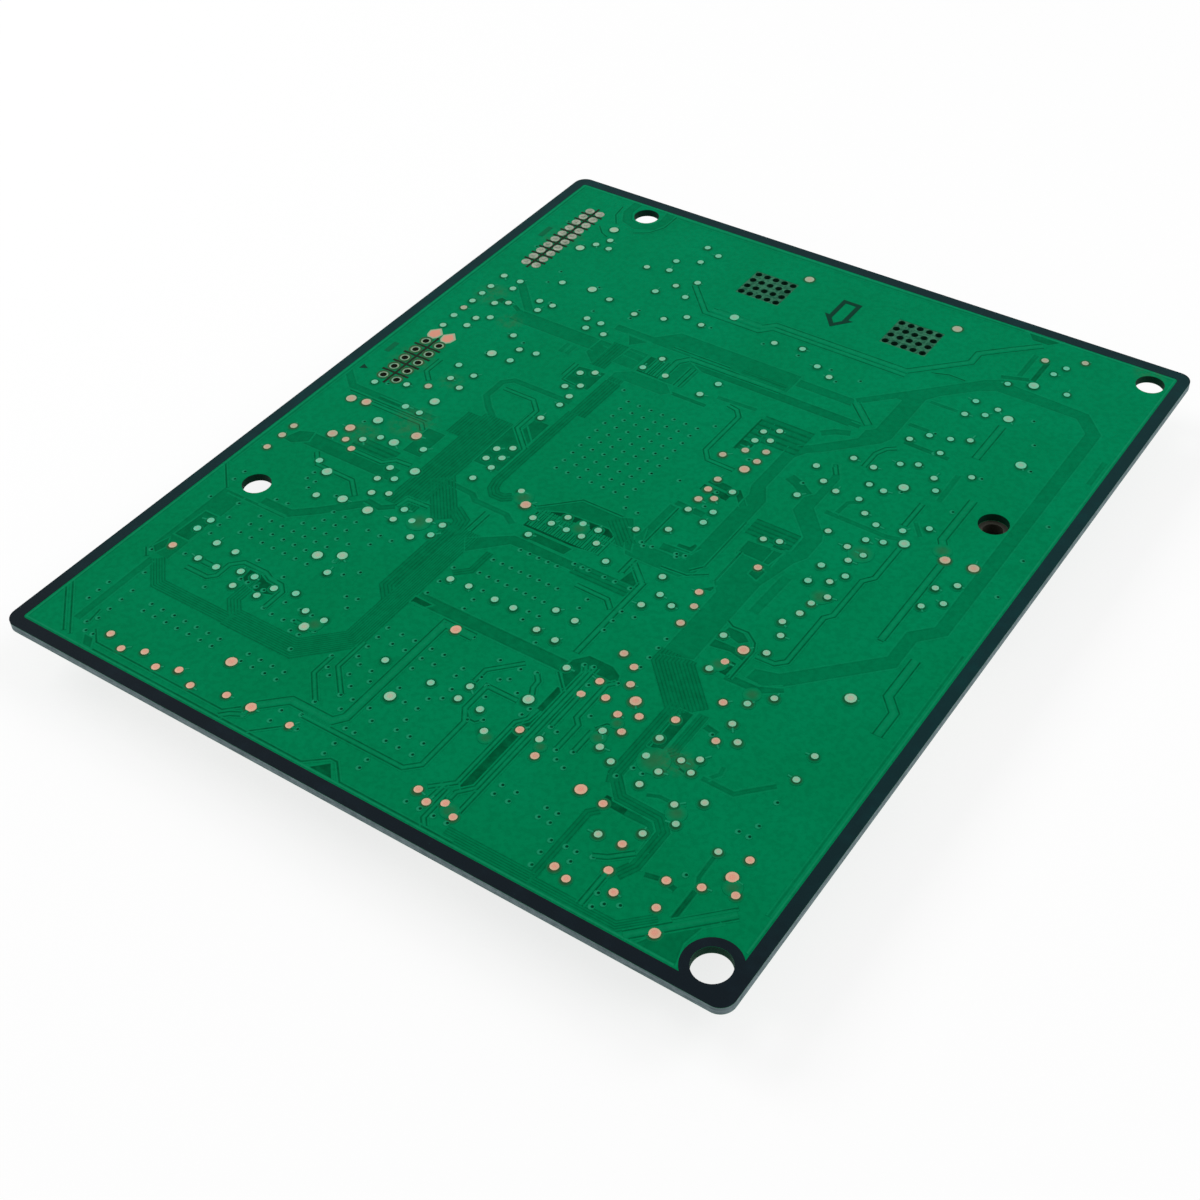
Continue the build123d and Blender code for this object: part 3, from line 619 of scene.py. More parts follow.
def copper_fields():
    relief = Relief("rim", "tint")
    for island in islands("solder_thieves"):
        middle = sum(island, Vector()) / len(island)
        outline = [point for point in island if point.z > middle.z]
        outline.sort(key=lambda point: math.atan2(point.y - middle.y, point.x - middle.x))
        rows = [
            relief.row(shrunk(outline, share, height), rim=rim, tint=FIELD_TINT)
            for share, height, rim in FIELD_DOME
        ]
        for row, other in zip(rows, rows[1:]):
            relief.band(row, other)
        relief.faces.append(tuple(rows[-1]))
    return relief


FIELD_COPPER = pad_metal(
    "field_copper", cold=srgb(204, 148, 124), warm=srgb(214, 146, 122), cold_rim=srgb(142, 172, 140),
    warm_rim=srgb(158, 176, 144), dark_rim=srgb(88, 120, 82),
)
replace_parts(copper_fields().made("copper_fields", FIELD_COPPER), "solder_thieves")

# %% [markdown]
# Tracks show through lacquer as a low relief: the copper stands some hundredths of a millimetre proud,
# and the green is darker over the bare glass beside it. A painted drawing of them would lie flat and blur
# close up, so they are thin strips of the lacquer itself, swept along the lines that a designer would
# draw. A strip's profile says, from right to left, how high the lacquer is and how dark, and its bends
# are mitred.

# %% Strips
SHARPEST_BEND = -0.6  # the dot product of a bend's two sides past which its mitre grows no longer


def mitred(path, closed=False):
    """Each point of a path, with the way to its left, drawn out at a bend to keep a strip's width."""
    points = [Vector(p) for p in path]
    ends = points + points[:1] if closed else points
    steps = [(b - a).normalized() for a, b in zip(ends, ends[1:])]
    sides = [Vector((-s.y, s.x)) for s in steps]
    before = [sides[-1] if closed else sides[0]] + sides
    after = sides if closed else sides + [sides[-1]]
    return [(p, (a + b) / (1 + max(SHARPEST_BEND, a.dot(b)))) for p, a, b in zip(points, before, after)]


def strip(relief, path, profile, closed=False, side=1):
    """Sweeps a profile of (place across, height, and any values) along a path."""
    relief.layers += 1
    lift = relief.layers * relief.STEP
    lay = on_top if side > 0 else below
    rows = []
    for across, height, *more in profile:
        places = [lay(*(point + left * across), height + lift) for point, left in mitred(path, closed)]
        rows.append(relief.row(places, **dict(zip(relief.values, more))))
    for row, other in zip(rows, rows[1:]):
        if side > 0:
            relief.band(row, other, closed)
        else:
            relief.band(other, row, closed)
    return rows


def both_sides(half):
    """A whole profile from its left half, given from the middle outwards."""
    left = [row for row in half if row[0] > 0]
    return [(-across, *rest) for across, *rest in reversed(left)] + half


print("strips ready")

# %% [markdown]
# A wide dark band is a stretch where tracks run in lacquer with no copper area round them. The lacquer is
# darkest along the two edges of such a band, where it runs down from the copper, and paler in the middle.
# These are the bands of the soldered side, read off the board area by area.

# %% Dark bands
def dark_band(relief, width, depth, path, side=1):
    """A wide band without copper, with soft edges."""
    edge = width / 2
    inner = depth * (0.42 + 0.4 * depth)
    profile = [(0.0, 0.002, inner), (max(0.02, edge - 0.35), 0.002, inner), (edge - 0.1, 0.002, depth)]
    # painted highlight: the rim where the lacquer rises to the copper has etch under 0
    profile += [(edge + 0.08, 0.018, -0.1), (edge + 0.3, 0.0, 0.0)]
    strip(relief, path, both_sides(profile), side=side)


BANDS = [  # width, depth of the green, then the points of the path
    # at the back, from the plug header to the arrow
    (1.4, 0.45, (11, 97.8), (16.4, 92.4)), (2.9, 0.45, (15, 90.5), (31, 90.5)),
    (1.3, 0.25, (31.6, 91.6), (38.4, 91)), (1.7, 0.5, (61, 98.3), (70.6, 98.3)),
    (1.7, 0.6, (45.4, 93.9), (73.8, 93.9)), (0.7, 0.45, (53.2, 89), (59.6, 89.4)),
    (0.7, 0.65, (46.8, 86.3), (52.8, 86.3)), (1.2, 0.5, (70.2, 89.6), (71.8, 91), (73.8, 91.8)),
    (0.8, 0.6, (72.6, 93.8), (74.2, 93.8)), (0.8, 0.45, (88.2, 116.8), (88.2, 123)),
    (0.8, 0.85, (90.4, 116.8), (90.4, 122)), (0.8, 0.65, (86, 115.3), (90, 116.8)),
    (0.6, 0.45, (80, 104.4), (84.4, 104.4)), (0.7, 0.5, (79.8, 98.1), (83, 98.1)),
    (0.8, 0.6, (81.2, 94.1), (88.2, 93.9)), (0.8, 0.4, (106.9, 104.6), (106.9, 99)),
    # at the right
    (0.6, 0.45, (82, 79), (80.9, 78.2), (80.6, 75.2)), (0.8, 0.4, (79.2, 75), (88.6, 74.8), (90.4, 75.3)),
    (1.4, 0.35, (81.2, 52.8), (81.5, 60.8)), (1.1, 0.6, (84.2, 41.3), (88.8, 41.4), (91.4, 43.2)),
    (0.8, 0.3, (91, 91.4), (91.2, 85)), (0.6, 0.45, (90.6, 79.4), (92.4, 77.2)),
    (0.7, 0.5, (90.6, 25.8), (95, 25.7), (96.3, 27.1), (98.6, 29.4)),
    (0.5, 0.4, (91.2, 26), (92.1, 27.4), (91.9, 28.6)), (0.5, 0.6, (98, 16.9), (98.1, 13.4), (98.8, 12)),
    (0.7, 0.95, (98.75, 11.6), (98.75, 7.2)), (0.5, 0.6, (86.6, 20.2), (88, 20.8), (91.4, 20.8)),
    (1.5, 0.5, (81.9, 34), (81.9, 20.8), (84.2, 18.3), (89.8, 18.1), (91.3, 16.6), (91.3, 10.6)),
    (1.4, 0.45, (85.5, 34.4), (85.5, 27.6), (86.6, 26.2)), (1.3, 1.15, (82.7, 17.1), (86.2, 16.9)),
    (1, 0.6, (86, 16.7), (89.4, 16.8), (90.6, 15.6), (90.9, 13)), (0.8, 0.85, (91.3, 13.2), (91.3, 11)),
    (0.7, 0.85, (92.8, 10.5), (94.6, 10.9), (96.8, 10.6)), (1, 1.1, (83.7, 43.9), (83.6, 41.5)),
    (0.9, 0.65, (86.6, 32.9), (88.4, 32.6)), (1, 1.1, (86.4, 27.2), (88.6, 27)),
    (0.9, 0.95, (87.6, 25.9), (89.2, 25.6)),
    # in the middle
    (0.9, 0.45, (31.6, 52.7), (36.2, 52.4), (37.4, 51.5), (42.8, 51.4), (44.6, 50.3)),
    (0.9, 0.95, (66.8, 72.5), (69.2, 70)), (1.2, 0.8, (62.4, 72.4), (65.8, 72.1)),
    (1.3, 1.1, (62.2, 70.6), (66.6, 70.4)), (1.1, 0.65, (61, 65.8), (65.6, 65.6)),
    (0.9, 0.8, (61.2, 59.6), (62.1, 57.2)), (1.3, 0.65, (64.2, 57.3), (68.4, 57.6)),
    (2.2, 0.95, (62.4, 88), (62.4, 80.2)), (0.8, 0.75, (61.6, 85.9), (64, 85.9)),
    (0.8, 0.3, (61.6, 83.2), (63.6, 83.2)), (0.8, 0.75, (61.8, 80.8), (63.6, 80.8)),
    (1.6, 0.6, (71.4, 78.8), (73, 78.2), (75.4, 76.6)), (1.1, 0.8, (66, 58.4), (68, 58.6), (68.4, 59.8)),
    (1.2, 0.9, (76.8, 65.2), (79, 65.4)), (1.1, 1, (78, 65), (78, 61.4)),
    # at the left
    (1, 0.5, (35.6, 76.6), (25.4, 76.6), (24.1, 75.3), (24.1, 71.4), (26, 69.4), (28, 67.8)),
    (1.2, 0.45, (2.2, 65.8), (5.6, 62.9), (21, 62.9)), (0.7, 0.75, (10.8, 62.6), (15.4, 62.6)),
    (2.7, 0.6, (8.6, 49.8), (24.4, 49.8)),
    (1.5, 0.55, (12.4, 35.8), (17.4, 35.8), (20.4, 38.3), (24.9, 42.9)), (3.8, 0.5, (7.9, 35), (7.9, 20)),
    (1.1, 0.45, (8, 19), (8, 5.4)), (0.4, 0.6, (7, 34.8), (17.4, 34.8)),
    (0.7, 0.65, (12.4, 93), (15, 91.6)), (2, 0.6, (42.9, 32.1), (66.4, 32.1)),
    (1, 0.7, (24.6, 43.6), (27.2, 43.3), (28.8, 44.6)), (0.7, 0.4, (26.8, 88.6), (26.8, 86.2)),
    (0.7, 0.3, (28, 88.6), (28, 86.2)),
    # round the hole at the back left
    (1.6, 0.45, (13.3, 128), (13.3, 124.6), (14.6, 122.4), (17, 121.6), (19.4, 122.8), (20.2, 125.2),
     (19.8, 128)),
]
ETCHED = Relief("etch", "stain")
for width, depth, *path in BANDS:
    dark_band(ETCHED, width, depth, path)
print("bands:", len(BANDS))

# %% [markdown]
# A field is a whole area without copper, such as the one that winds from the right side round the back
# and past the processor. Its outline is a list of its corners, counterclockwise. The rim is drawn as a
# strip along that outline, with the same soft edge as a band has, and one flat face fills what is left.

# %% Fields without copper
def field(relief, depth, outline):
    """An area without copper, inside an outline that runs counterclockwise."""
    inner = depth * (0.45 + 0.4 * depth)
    # painted highlight: the rim along the outline has etch under 0
    profile = [(-0.22, 0.0, 0.0), (0.0, 0.018, -0.1), (0.14, 0.002, depth * 0.95), (0.36, 0.002, inner)]
    relief.faces.append(tuple(strip(relief, outline, profile, closed=True)[-1]))


FIELDS = [  # depth of the green, then the corners
    # the supply band: from the right side round the back, past the processor to its front corner
    (0.45, (71.4, 57.5), (71.4, 72.5), (69.8, 75.2), (69.8, 82.8), (70.8, 84.6), (72.4, 85.8), (78.6, 92),
     (79.4, 93.6), (79.3, 104.4), (80.6, 106.3), (84.6, 110.2), (87, 111.7), (99.5, 111.7),
     (101.9, 109.2), (101.9, 62.8), (99.3, 60.2), (99.3, 55), (89.6, 45.3), (86.6, 44.4), (86.4, 42.4),
     (88.8, 42.3), (91, 43.4), (101.3, 53.8), (101.3, 59.2), (104.1, 62.2), (104.1, 110), (100.6, 113.7),
     (88.8, 114.3), (86.6, 114.9), (84.4, 113.4), (75.4, 104.4), (70.3, 99.4), (71.3, 98.4),
     (75.5, 102.5), (76.3, 102.5), (76.3, 94.6), (75.2, 93.6), (75.2, 91.4), (70.2, 86.4), (67.8, 84.6),
     (67.8, 74.4), (68.5, 72.6), (68.5, 58.6), (67.6, 56.5), (62.2, 56.4), (62.1, 65.2), (60.5, 65.2),
     (60.4, 57.6), (59.6, 55.4), (61, 53.3), (69.4, 53.3), (70.8, 54.6)),
    # the band beside it
    (0.4, (79.4, 41.6), (79.4, 57.6), (80.9, 63.6), (81.9, 65.4), (81.9, 69.4), (81.3, 70.8),
     (77.6, 74.8), (77.6, 82), (76, 84.9), (75, 84.5), (76.2, 82), (76.2, 77.4), (75.2, 76.2), (75.2, 73),
     (79.3, 68.8), (79.4, 65.6), (78.2, 64.8), (73.4, 64.6), (73.2, 61.6), (73.9, 60.4), (73.9, 55),
     (75.1, 53.6), (75.1, 40.2)),
    (0.75, (33.4, 66.6), (36.2, 64.6), (36.2, 70.6), (33.6, 70.6)),
    (0.45, (30.4, 95.3), (61.2, 95.3), (61.2, 99.9), (40, 99.9), (37, 96.8), (30.4, 96.8)),
    (0.6, (33.2, 95.4), (34.8, 93), (37.2, 95.4)),
    (0.35, (39.4, 84), (39.4, 85.1), (45.8, 85.1), (46.9, 86.2), (45.2, 87.8), (39, 87.8), (36.9, 86.2),
     (36.9, 84)),
    (0.95, (39.3, 88.1), (43.3, 88.1), (43.3, 92.4), (39.3, 92.4)),
    (0.45, (43.4, 88), (47.6, 88), (47.6, 93), (44.4, 94.6), (43.4, 93.6)),
    (0.4, (35, 88.1), (38.8, 88.1), (38.8, 92.6), (35.6, 92.6)),
    (0.5, (30.2, 88.2), (32.6, 86.2), (32.6, 92), (30.4, 92)),
    (0.75, (31.5, 80.3), (36, 80.3), (36, 85.2), (31.5, 84.6)),
    (0.55, (45.2, 54.4), (61.4, 54.2), (60.2, 56.8), (58, 60), (56.4, 59.2), (50, 59.2), (46.8, 56.2)),
    (1.3, (46, 50.8), (54, 50.8), (57.8, 51.4), (57.8, 55.6), (56.4, 56.4), (49.4, 56), (46, 54.4)),
    (0.8, (48.2, 48.9), (54.2, 48.9), (54.6, 50.5), (48.2, 50.5)),
    (0.6, (42.6, 42.4), (47, 46.8), (57, 46.9), (57, 48.5), (46.4, 48.6), (41, 44.6)),
    (0.9, (63.3, 48.6), (66.1, 48.6), (66.1, 50.2), (63.8, 52.2)),
    (0.6, (73.4, 61.8), (78.2, 61.6), (78.8, 64.8), (73.4, 64.4)),
    (0.7, (76.8, 58.8), (78.4, 58.2), (78.6, 60.2), (77, 60.8)),
    (0.85, (73.1, 52.9), (74.5, 53.3), (74.6, 54.6)),
    (0.75, (79.8, 47.7), (82.6, 47), (83.6, 48), (82.2, 49), (80, 49)),
    (0.75, (79.6, 44.7), (82.4, 45.2), (84.8, 44.6), (84.8, 45.9), (82.6, 46.3), (79.6, 46.2)),
    (0.95, (82.3, 26.6), (84.4, 26.6), (84.4, 33.8), (82.3, 33.8)),
    (0.6, (96.9, 2.1), (102.3, 2.1), (101.5, 5), (102.1, 7.8), (103.8, 9.5), (102.6, 9.6), (98.9, 5.4)),
    (0.8, (84.4, 128.2), (86, 126.2), (88.6, 126.2), (90.4, 128.2)),
    (1.1, (42.6, 30.9), (44.8, 30.9), (45.6, 32), (42.6, 32.1)),
    (0.85, (66.4, 31.4), (68.7, 28.8), (68.9, 33.2), (70.3, 33), (73.7, 33), (73.2, 34.4), (71.6, 35.3),
     (68, 35.3), (66.6, 33.6)),
    (1.05, (66.9, 20), (66.9, 10.2), (68.1, 9), (69.2, 10.4), (69.2, 28.8), (67.7, 28.8), (67.7, 20.8)),
    (1.1, (50.3, 2.1), (54.3, 2.1), (52.4, 4.2)),
    (1.1, (20.7, 24.5), (20.9, 22.6), (22.1, 21.9), (24.6, 21.4), (26.6, 22.2), (26.9, 23.9),
     (24.8, 24.7)),
    (0.7, (11, 3.9), (12.2, 2.4), (13.7, 2.4), (12.6, 3.9)),
    (0.6, (21.7, 54.8), (24.9, 54.8), (24.9, 60.8), (21.7, 60.8)),
    (0.7, (31.8, 58.2), (36.3, 58.2), (36.3, 66), (33.2, 69), (33.2, 71), (31.8, 71)),
    (0.75, (6.9, 24.2), (9.6, 24.2), (9.6, 30), (7.2, 30)),
    (0.7, (6.2, 20.9), (7.4, 20), (7.9, 21.6), (6.9, 23.4)),
    (0.6, (5.2, 47.8), (7, 47.6), (9, 49.2), (8.4, 51.4), (6.2, 50.4)),
    (0.95, (10, 92), (12.6, 91.6), (13.4, 92.6), (10.6, 93.2)),
]
for depth, *outline in FIELDS:
    field(ETCHED, depth, outline)
print("fields:", len(FIELDS))

# %% [markdown]
# Tracks that run side by side leave gaps too narrow to draw one by one. A bundle is therefore a single
# strip, whose profile has a low ridge for each track, so the fine stripes show and follow every bend
# together. Two short ladders of separate tracks, in front of the processor and behind it, are wide enough
# to draw singly.

# %% Bundles of tracks
def bundle(relief, count, pitch, path, depth=0.85, side=1):
    """Many tracks side by side, whose gaps join into one dark band with fine stripes."""
    half = count * pitch / 2
    ridge = depth * (0.45 if pitch > 0.42 else 0.25)
    profile = [(-half - 0.15, 0.0, 0.0), (-half, 0.002, depth)]
    for n in range(count):
        middle = (n + 0.5) * pitch - half
        profile += [(middle - pitch * 0.22, 0.014, ridge), (middle + pitch * 0.22, 0.014, ridge)]
        profile += [(middle + pitch * 0.5, 0.002, depth)]
    strip(relief, path, profile + [(half + 0.15, 0.0, 0.0)], side=side)


def track(relief, width, path, gap=0.3, depth=1.0, side=1):
    """One raised track with a dark gap at each side of it."""
    edge = width / 2
    # painted highlight: the track's top and the outer rims of its gaps have etch under 0
    profile = [(0.0, 0.026, -0.12), (edge, 0.022, 0.0), (edge + gap * 0.4, 0.002, depth)]
    profile += [(edge + gap * 0.7, 0.002, depth), (edge + gap, 0.018, -0.05), (edge + gap + 0.2, 0.0, 0.0)]
    strip(relief, path, both_sides(profile), side=side)


BUNDLES = [  # count, pitch, then the points of the path
    (9, 0.36, (40.9, 46), (40.9, 21.6), (35.6, 16.3), (24.5, 16.3)),
    (5, 0.36, (25.2, 15.8), (12.2, 15.8), (8.6, 19.4)), (4, 0.5, (38.1, 46), (38.1, 31.8), (40, 29.9)),
    (4, 0.42, (22.9, 23.2), (22.9, 18.9), (24.9, 16.9)), (6, 0.34, (70.2, 3.1), (82.8, 3.1)),
    (4, 0.34, (82.4, 2.9), (94, 2.9), (97.4, 6.2)), (2, 0.5, (82.4, 3.2), (82.4, 14.4), (83.3, 15.4)),
    (11, 0.46, (77.4, 41.4), (77.4, 39.9), (83.6, 33.7)),
    (3, 0.5, (81.6, 34.2), (81.6, 21), (82.2, 19.6)), (2, 0.5, (85.8, 34.2), (85.8, 27.6), (84.6, 25.8)),
    (3, 0.5, (81.7, 20.8), (84.2, 18.3), (89.8, 18.1), (91.3, 16.6), (91.3, 11), (90.2, 8.8)),
    (8, 0.45, (30.4, 53), (36.2, 46.2)), (5, 0.5, (38.2, 85), (38.2, 74.6)),
    (3, 0.5, (37.4, 74.8), (37.4, 56.6), (37.8, 55), (38.8, 54), (40.2, 54), (41.2, 54.8)),
    (4, 0.5, (36, 48.6), (38.4, 47.2), (39.2, 44)), (5, 0.5, (25.6, 67), (25.6, 61.6)),
    (10, 0.5, (29.2, 68), (29.2, 45)), (3, 0.9, (14.6, 52.7), (22, 52.7)),
    (5, 1.12, (61.6, 86.1), (69.6, 86.1)), (4, 0.8, (72.2, 67.2), (79, 67.2)),
    (3, 0.7, (56.8, 47.6), (65.8, 47.6)), (2, 0.45, (45.7, 44), (45.7, 39.9), (43.9, 38.2)),
    (5, 0.5, (33.8, 92.6), (33.8, 86)), (5, 0.5, (56.2, 58.6), (60.2, 55)),
    (3, 0.5, (53, 96), (60.6, 96)),
]
for count, pitch, *path in BUNDLES:
    bundle(ETCHED, count, pitch, path, 0.75)
LADDERS = [  # width, places along x, then how far back and how far forward each track reaches
    (0.34, [46.9 + 1.22 * n for n in range(10)], 55, 51.2), (0.4, (40.9, 42.3), 92.6, 88.4),
]
for width, along, back, front in LADDERS:
    for x in along:
        track(ETCHED, width, [(x, back), (x, front)], 0.2, 1.1)
print("bundles:", len(BUNDLES), "ladders:", len(LADDERS))

# %% [markdown]
# A track that crosses the copper area alone shows as a raised line between two dark gaps. Each has its
# own width and the bends that a designer gave it, in steps of 45 degrees for the most part.

# %% Single tracks
TRACKS = [  # width, then the points of the path
    (1, (53.7, 30.1), (49.05, 30.1), (49.05, 10.8), (47.9, 9.35), (41.5, 9.35), (38.4, 6.4)),
    (0.4, (44, 8.2), (60, 8.2), (61.66, 9.8), (61.66, 18), (60.35, 19.8), (60.35, 24.2), (65, 24.2)),
    (0.35, (58.5, 24), (58.5, 26.3), (62, 29.9)),
    (0.35, (64.2, 29.3), (65.2, 28.2), (65.3, 27), (66, 25.8)),
    (0.32, (40.7, 17.9), (40.7, 14.4), (44.1, 10.8)), (0.3, (42.5, 22), (42.5, 16.9), (46, 13.4)),
    (0.4, (13, 20.2), (16.8, 20.2), (17.7, 21.1), (17.7, 23.6), (19.1, 25), (22.9, 25), (24.3, 24.4),
     (26.2, 24.3), (27.3, 23.3), (27.3, 19.8)),
    (0.35, (73.6, 33.2), (72.7, 32.2), (72.7, 25.8), (73.6, 24.9), (73.6, 20.4)),
    (0.3, (68, 24.4), (67.8, 22.4), (66.85, 21.2), (66.85, 9.8), (64.4, 7.5)),
    (0.3, (68.6, 33.6), (69.25, 32.6), (69.25, 10.4), (67.7, 8.6), (67.7, 7.4)),
    (0.3, (69.9, 34), (69.85, 6.4)), (0.3, (65.9, 9), (65.7, 6.2)),
    (0.3, (66.9, 8.4), (66.9, 3.6), (67.8, 2.6)), (0.5, (66.25, 50), (66.25, 34.8)),
    (0.4, (59, 45), (64, 44.9), (65.4, 43.6)), (0.5, (63, 52.6), (66.2, 49.7)),
    (0.8, (40.6, 107.6), (49.6, 107.6), (51.2, 109.25), (73.6, 109.25), (80.7, 116.2), (80.7, 118.8),
     (83.6, 121.6), (88, 125.6)),
    (0.6, (34.6, 112), (40, 106.5), (49.6, 106.5), (51.3, 108.25), (74, 108.2)),
    (0.7, (43.5, 88.4), (43.5, 93.3), (44.8, 94.9), (60.4, 95.1)), (0.8, (71, 98.5), (75, 94.8)),
    (0.8, (91.35, 104.6), (91.35, 96)),
    (0.4, (25.3, 74.2), (30.6, 74.2), (32.6, 72.3), (32.6, 67.6), (36.4, 64.2)),
    (0.4, (30.8, 85), (30.8, 81.5)), (0.4, (12.7, 75), (12.7, 71.5), (14.5, 69.8)),
    (0.4, (10.6, 61), (20.2, 61), (21.3, 59.9)), (0.4, (16, 51.1), (21, 51.1), (22.5, 52.5), (25, 52.7)),
    (0.4, (11.6, 48), (13.6, 45.9), (20, 45.8), (22.6, 43.4)),
    (0.4, (29, 44.8), (29.3, 46.8), (32.8, 47)),
    (0.4, (55.6, 88.2), (57.2, 87.9), (58.3, 86.6), (58.3, 77.7), (59.7, 76), (64, 75.9)),
    (0.4, (79, 86.2), (79, 89.6), (79.8, 91.3), (81, 92.2)), (0.45, (89.6, 83.4), (89.6, 78)),
    (0.45, (91.2, 73.6), (91.2, 66.8), (90.1, 65.4), (90.1, 57.8), (89.3, 56.8), (89.3, 47.5),
     (88.2, 46.4), (85.6, 46.3)),
    (0.8, (95.15, 87.6), (95.15, 78.2), (96.4, 76.3)), (0.7, (97.3, 73.6), (97.3, 57.3)),
    (0.9, (102.7, 56.2), (102.7, 49), (104.6, 46.9), (104.6, 42.6)), (0.4, (29.2, 33), (29.2, 31.4)),
    (0.4, (38.1, 6), (38.1, 4.4), (36.6, 3.6), (35.6, 2.6)), (0.3, (44.3, 6), (45.3, 6.1)),
    (0.5, (14.2, 22.2), (16, 22.2)), (0.4, (32.4, 20.1), (35.8, 20.1)), (0.35, (70.9, 30), (70.9, 23)),
    (0.4, (75.6, 25), (75.6, 21.2)), (0.4, (86.4, 9.5), (88, 10.3), (90.3, 12.4)),
    (0.4, (89.1, 8.4), (89.1, 3.2)), (0.8, (95.4, 2.4), (104.4, 11.4)),
]
for width, *path in TRACKS:
    track(ETCHED, width, path, 0.28, 0.85)
print("single tracks:", len(TRACKS))

# %% [markdown]
# Where two copper areas meet, only the gap between them shows, as one thin dark line. Three long and
# faint gaps run beside the printed border, where the ground copper has a rim of its own.

# %% Gaps between copper areas
def dark_line(relief, path, width, depth):
    """A thin line without copper between two areas of it."""
    edge = width * 0.7
    # painted highlight: a pale rim on each side of the line, with etch under 0
    profile = [(0.0, 0.001, depth), (width * 0.3, 0.003, depth), (edge, 0.022, -0.1), (edge + 0.2, 0.0)]
    strip(relief, path, both_sides(profile))


GAPS = [
    [(11.6, 5.3), (13.5, 3.6), (35.3, 3.6), (37, 5.2)],
    [(14, 2.45), (49.2, 2.45), (51.9, 4.7), (52.9, 4.7), (55.2, 2.45), (72, 2.45)],
    [(40.3, 2.5), (43.6, 5.6)], [(60.7, 19.5), (61.9, 18.6), (62.7, 18.6), (63.3, 19.4)],
    [(66.3, 30.9), (68.9, 28.4)], [(2.2, 10.2), (9.4, 2.9)], [(2.2, 9), (8.2, 2.9)],
    [(2.2, 39.2), (6.2, 35.2)], [(5.6, 20.2), (6.9, 18.9)], [(9.4, 8.2), (9.9, 5.4)],
    [(41.4, 108.3), (49.3, 108.3)], [(41, 96.1), (51, 96.1)], [(71.35, 67.4), (71.35, 56.9), (70, 55.2)],
    [(72.6, 55.9), (70.2, 54.2), (66.4, 53.9)], [(73.9, 62), (73.9, 55.2)], [(62, 65), (62, 56.8)],
    [(46.1, 93), (46.1, 88)], [(46.9, 93), (46.9, 88)], [(40, 50.4), (40, 46)],
    [(40.9, 50.2), (40.9, 46)], [(62.3, 53.2), (62.3, 49.9)], [(63, 53.2), (63, 50.2)],
    [(45.4, 55.1), (46.9, 56.5), (50, 59.5), (56.6, 59.5)], [(41.2, 55), (45.2, 55)],
    [(75.7, 84.6), (76.9, 82.8)], [(75.4, 83.8), (76.4, 82.4)],
    [(79.3, 49.9), (80.4, 49.3), (82.6, 49.4), (84.3, 48.2), (84.9, 46.9), (84.9, 41.2)],
    [(104, 12.2), (98.8, 6.9)], [(96.9, 57), (97.7, 57)],
    [(21.2, 127.4), (21.2, 123.6), (19.8, 121), (17.6, 119.6)],
    [(11.6, 118.6), (13.2, 117), (14.6, 116.4)], [(11.6, 125.6), (12, 122.8), (13.6, 120.6)],
    [(75.6, 25.6), (76.4, 26.9), (78.2, 27.3)], [(6, 61.8), (20.5, 61.8)],
    [(76.9, 110.8), (79.4, 111.7), (82, 111.6)], [(31.2, 84.6), (31.2, 80.6), (34, 80.3)],
]
for path in GAPS:
    dark_line(ETCHED, path, 0.24, 0.8)
RIM_GAPS = [
    [(2.5, 40), (2.5, 127.3)], [(21.6, 127.3), (64, 127.4), (84, 127.6)], [(107.3, 60), (107.3, 13)],
]
for path in RIM_GAPS:
    dark_line(ETCHED, path, 0.3, 0.35)
print("gaps:", len(GAPS) + len(RIM_GAPS), "strips in all:", ETCHED.layers)

# %% [markdown]
# A via is a tiny plated hole that joins the copper of both sides. Lacquer flows over it and sags in, so
# it shows as a dark dot in a faint pale ring: the ring is a painted highlight, and the dot is partly the
# hole and partly painted shade. A real hole would be lost under the lacquer, so each via is two low round
# forms, the dot a little off the middle of the ring, to the side where the shade falls. Vias stand in
# grids under the parts that need cooling, which loops lay out, and singly where a track changes sides.

# %% Vias
# the ring is a painted highlight; the dot is partly the hole and partly painted shade
# radius, height, etch
VIA_HIGHLIGHT_RING = [(0.44, 0.0, 0.0), (0.34, 0.008, -0.42), (0.24, 0.012, -0.6), (0.1, 0.012, -0.4)]
VIA_DOT = [(0.23, 0.014, -0.2), (0.17, 0.016, 1.0), (0.08, 0.016, 1.6)]


def via(relief, x, y, side=1):
    relief.rosette((x - 0.05, y - 0.03), VIA_HIGHLIGHT_RING, 12, side)
    relief.rosette((x + 0.05, y + 0.04), VIA_DOT, 10, side)


def spread(low, high, count):
    return [low + (high - low) * n / (count - 1) for n in range(count)]


VIA_GRIDS = [  # places along x, places along y
    (spread(42.7, 54.7, 7), spread(63.2, 81.2, 10)), (spread(14.4, 26.4, 7), (33.2, 31.2, 29.2)),
    (spread(20.4, 28.5, 5), (35.2,)), (spread(22.4, 26.4, 3), (37.2,)),
    (spread(14.4, 26.5, 7), (12.5, 11)), (spread(31.5, 37.5, 4), (12.5, 11)), ([6.5], (12.5, 10.7, 8.9)),
    ([10.4], (13, 11, 8.9, 6.9)), (spread(46.9, 57.4, 8), (43.1, 40.1)), (spread(48.8, 54.8, 5), (46.6,)),
    ((43.4, 45.7, 47.8, 50.5, 52.5), (25.6, 23.6)), ((56, 58.8), (25, 23.5)),
    ((55.6, 57.6, 59.7), (12.5, 10.4)), ((71.6, 73.7, 78, 79.6), (12.4, 10.8)),
    ((56.5, 57.8, 58.8, 61.3, 63, 65.4), (48.2,)), ((42.6, 46.1), (15.1,)), ((61.6, 63.3, 67.1), (56.5,)),
]
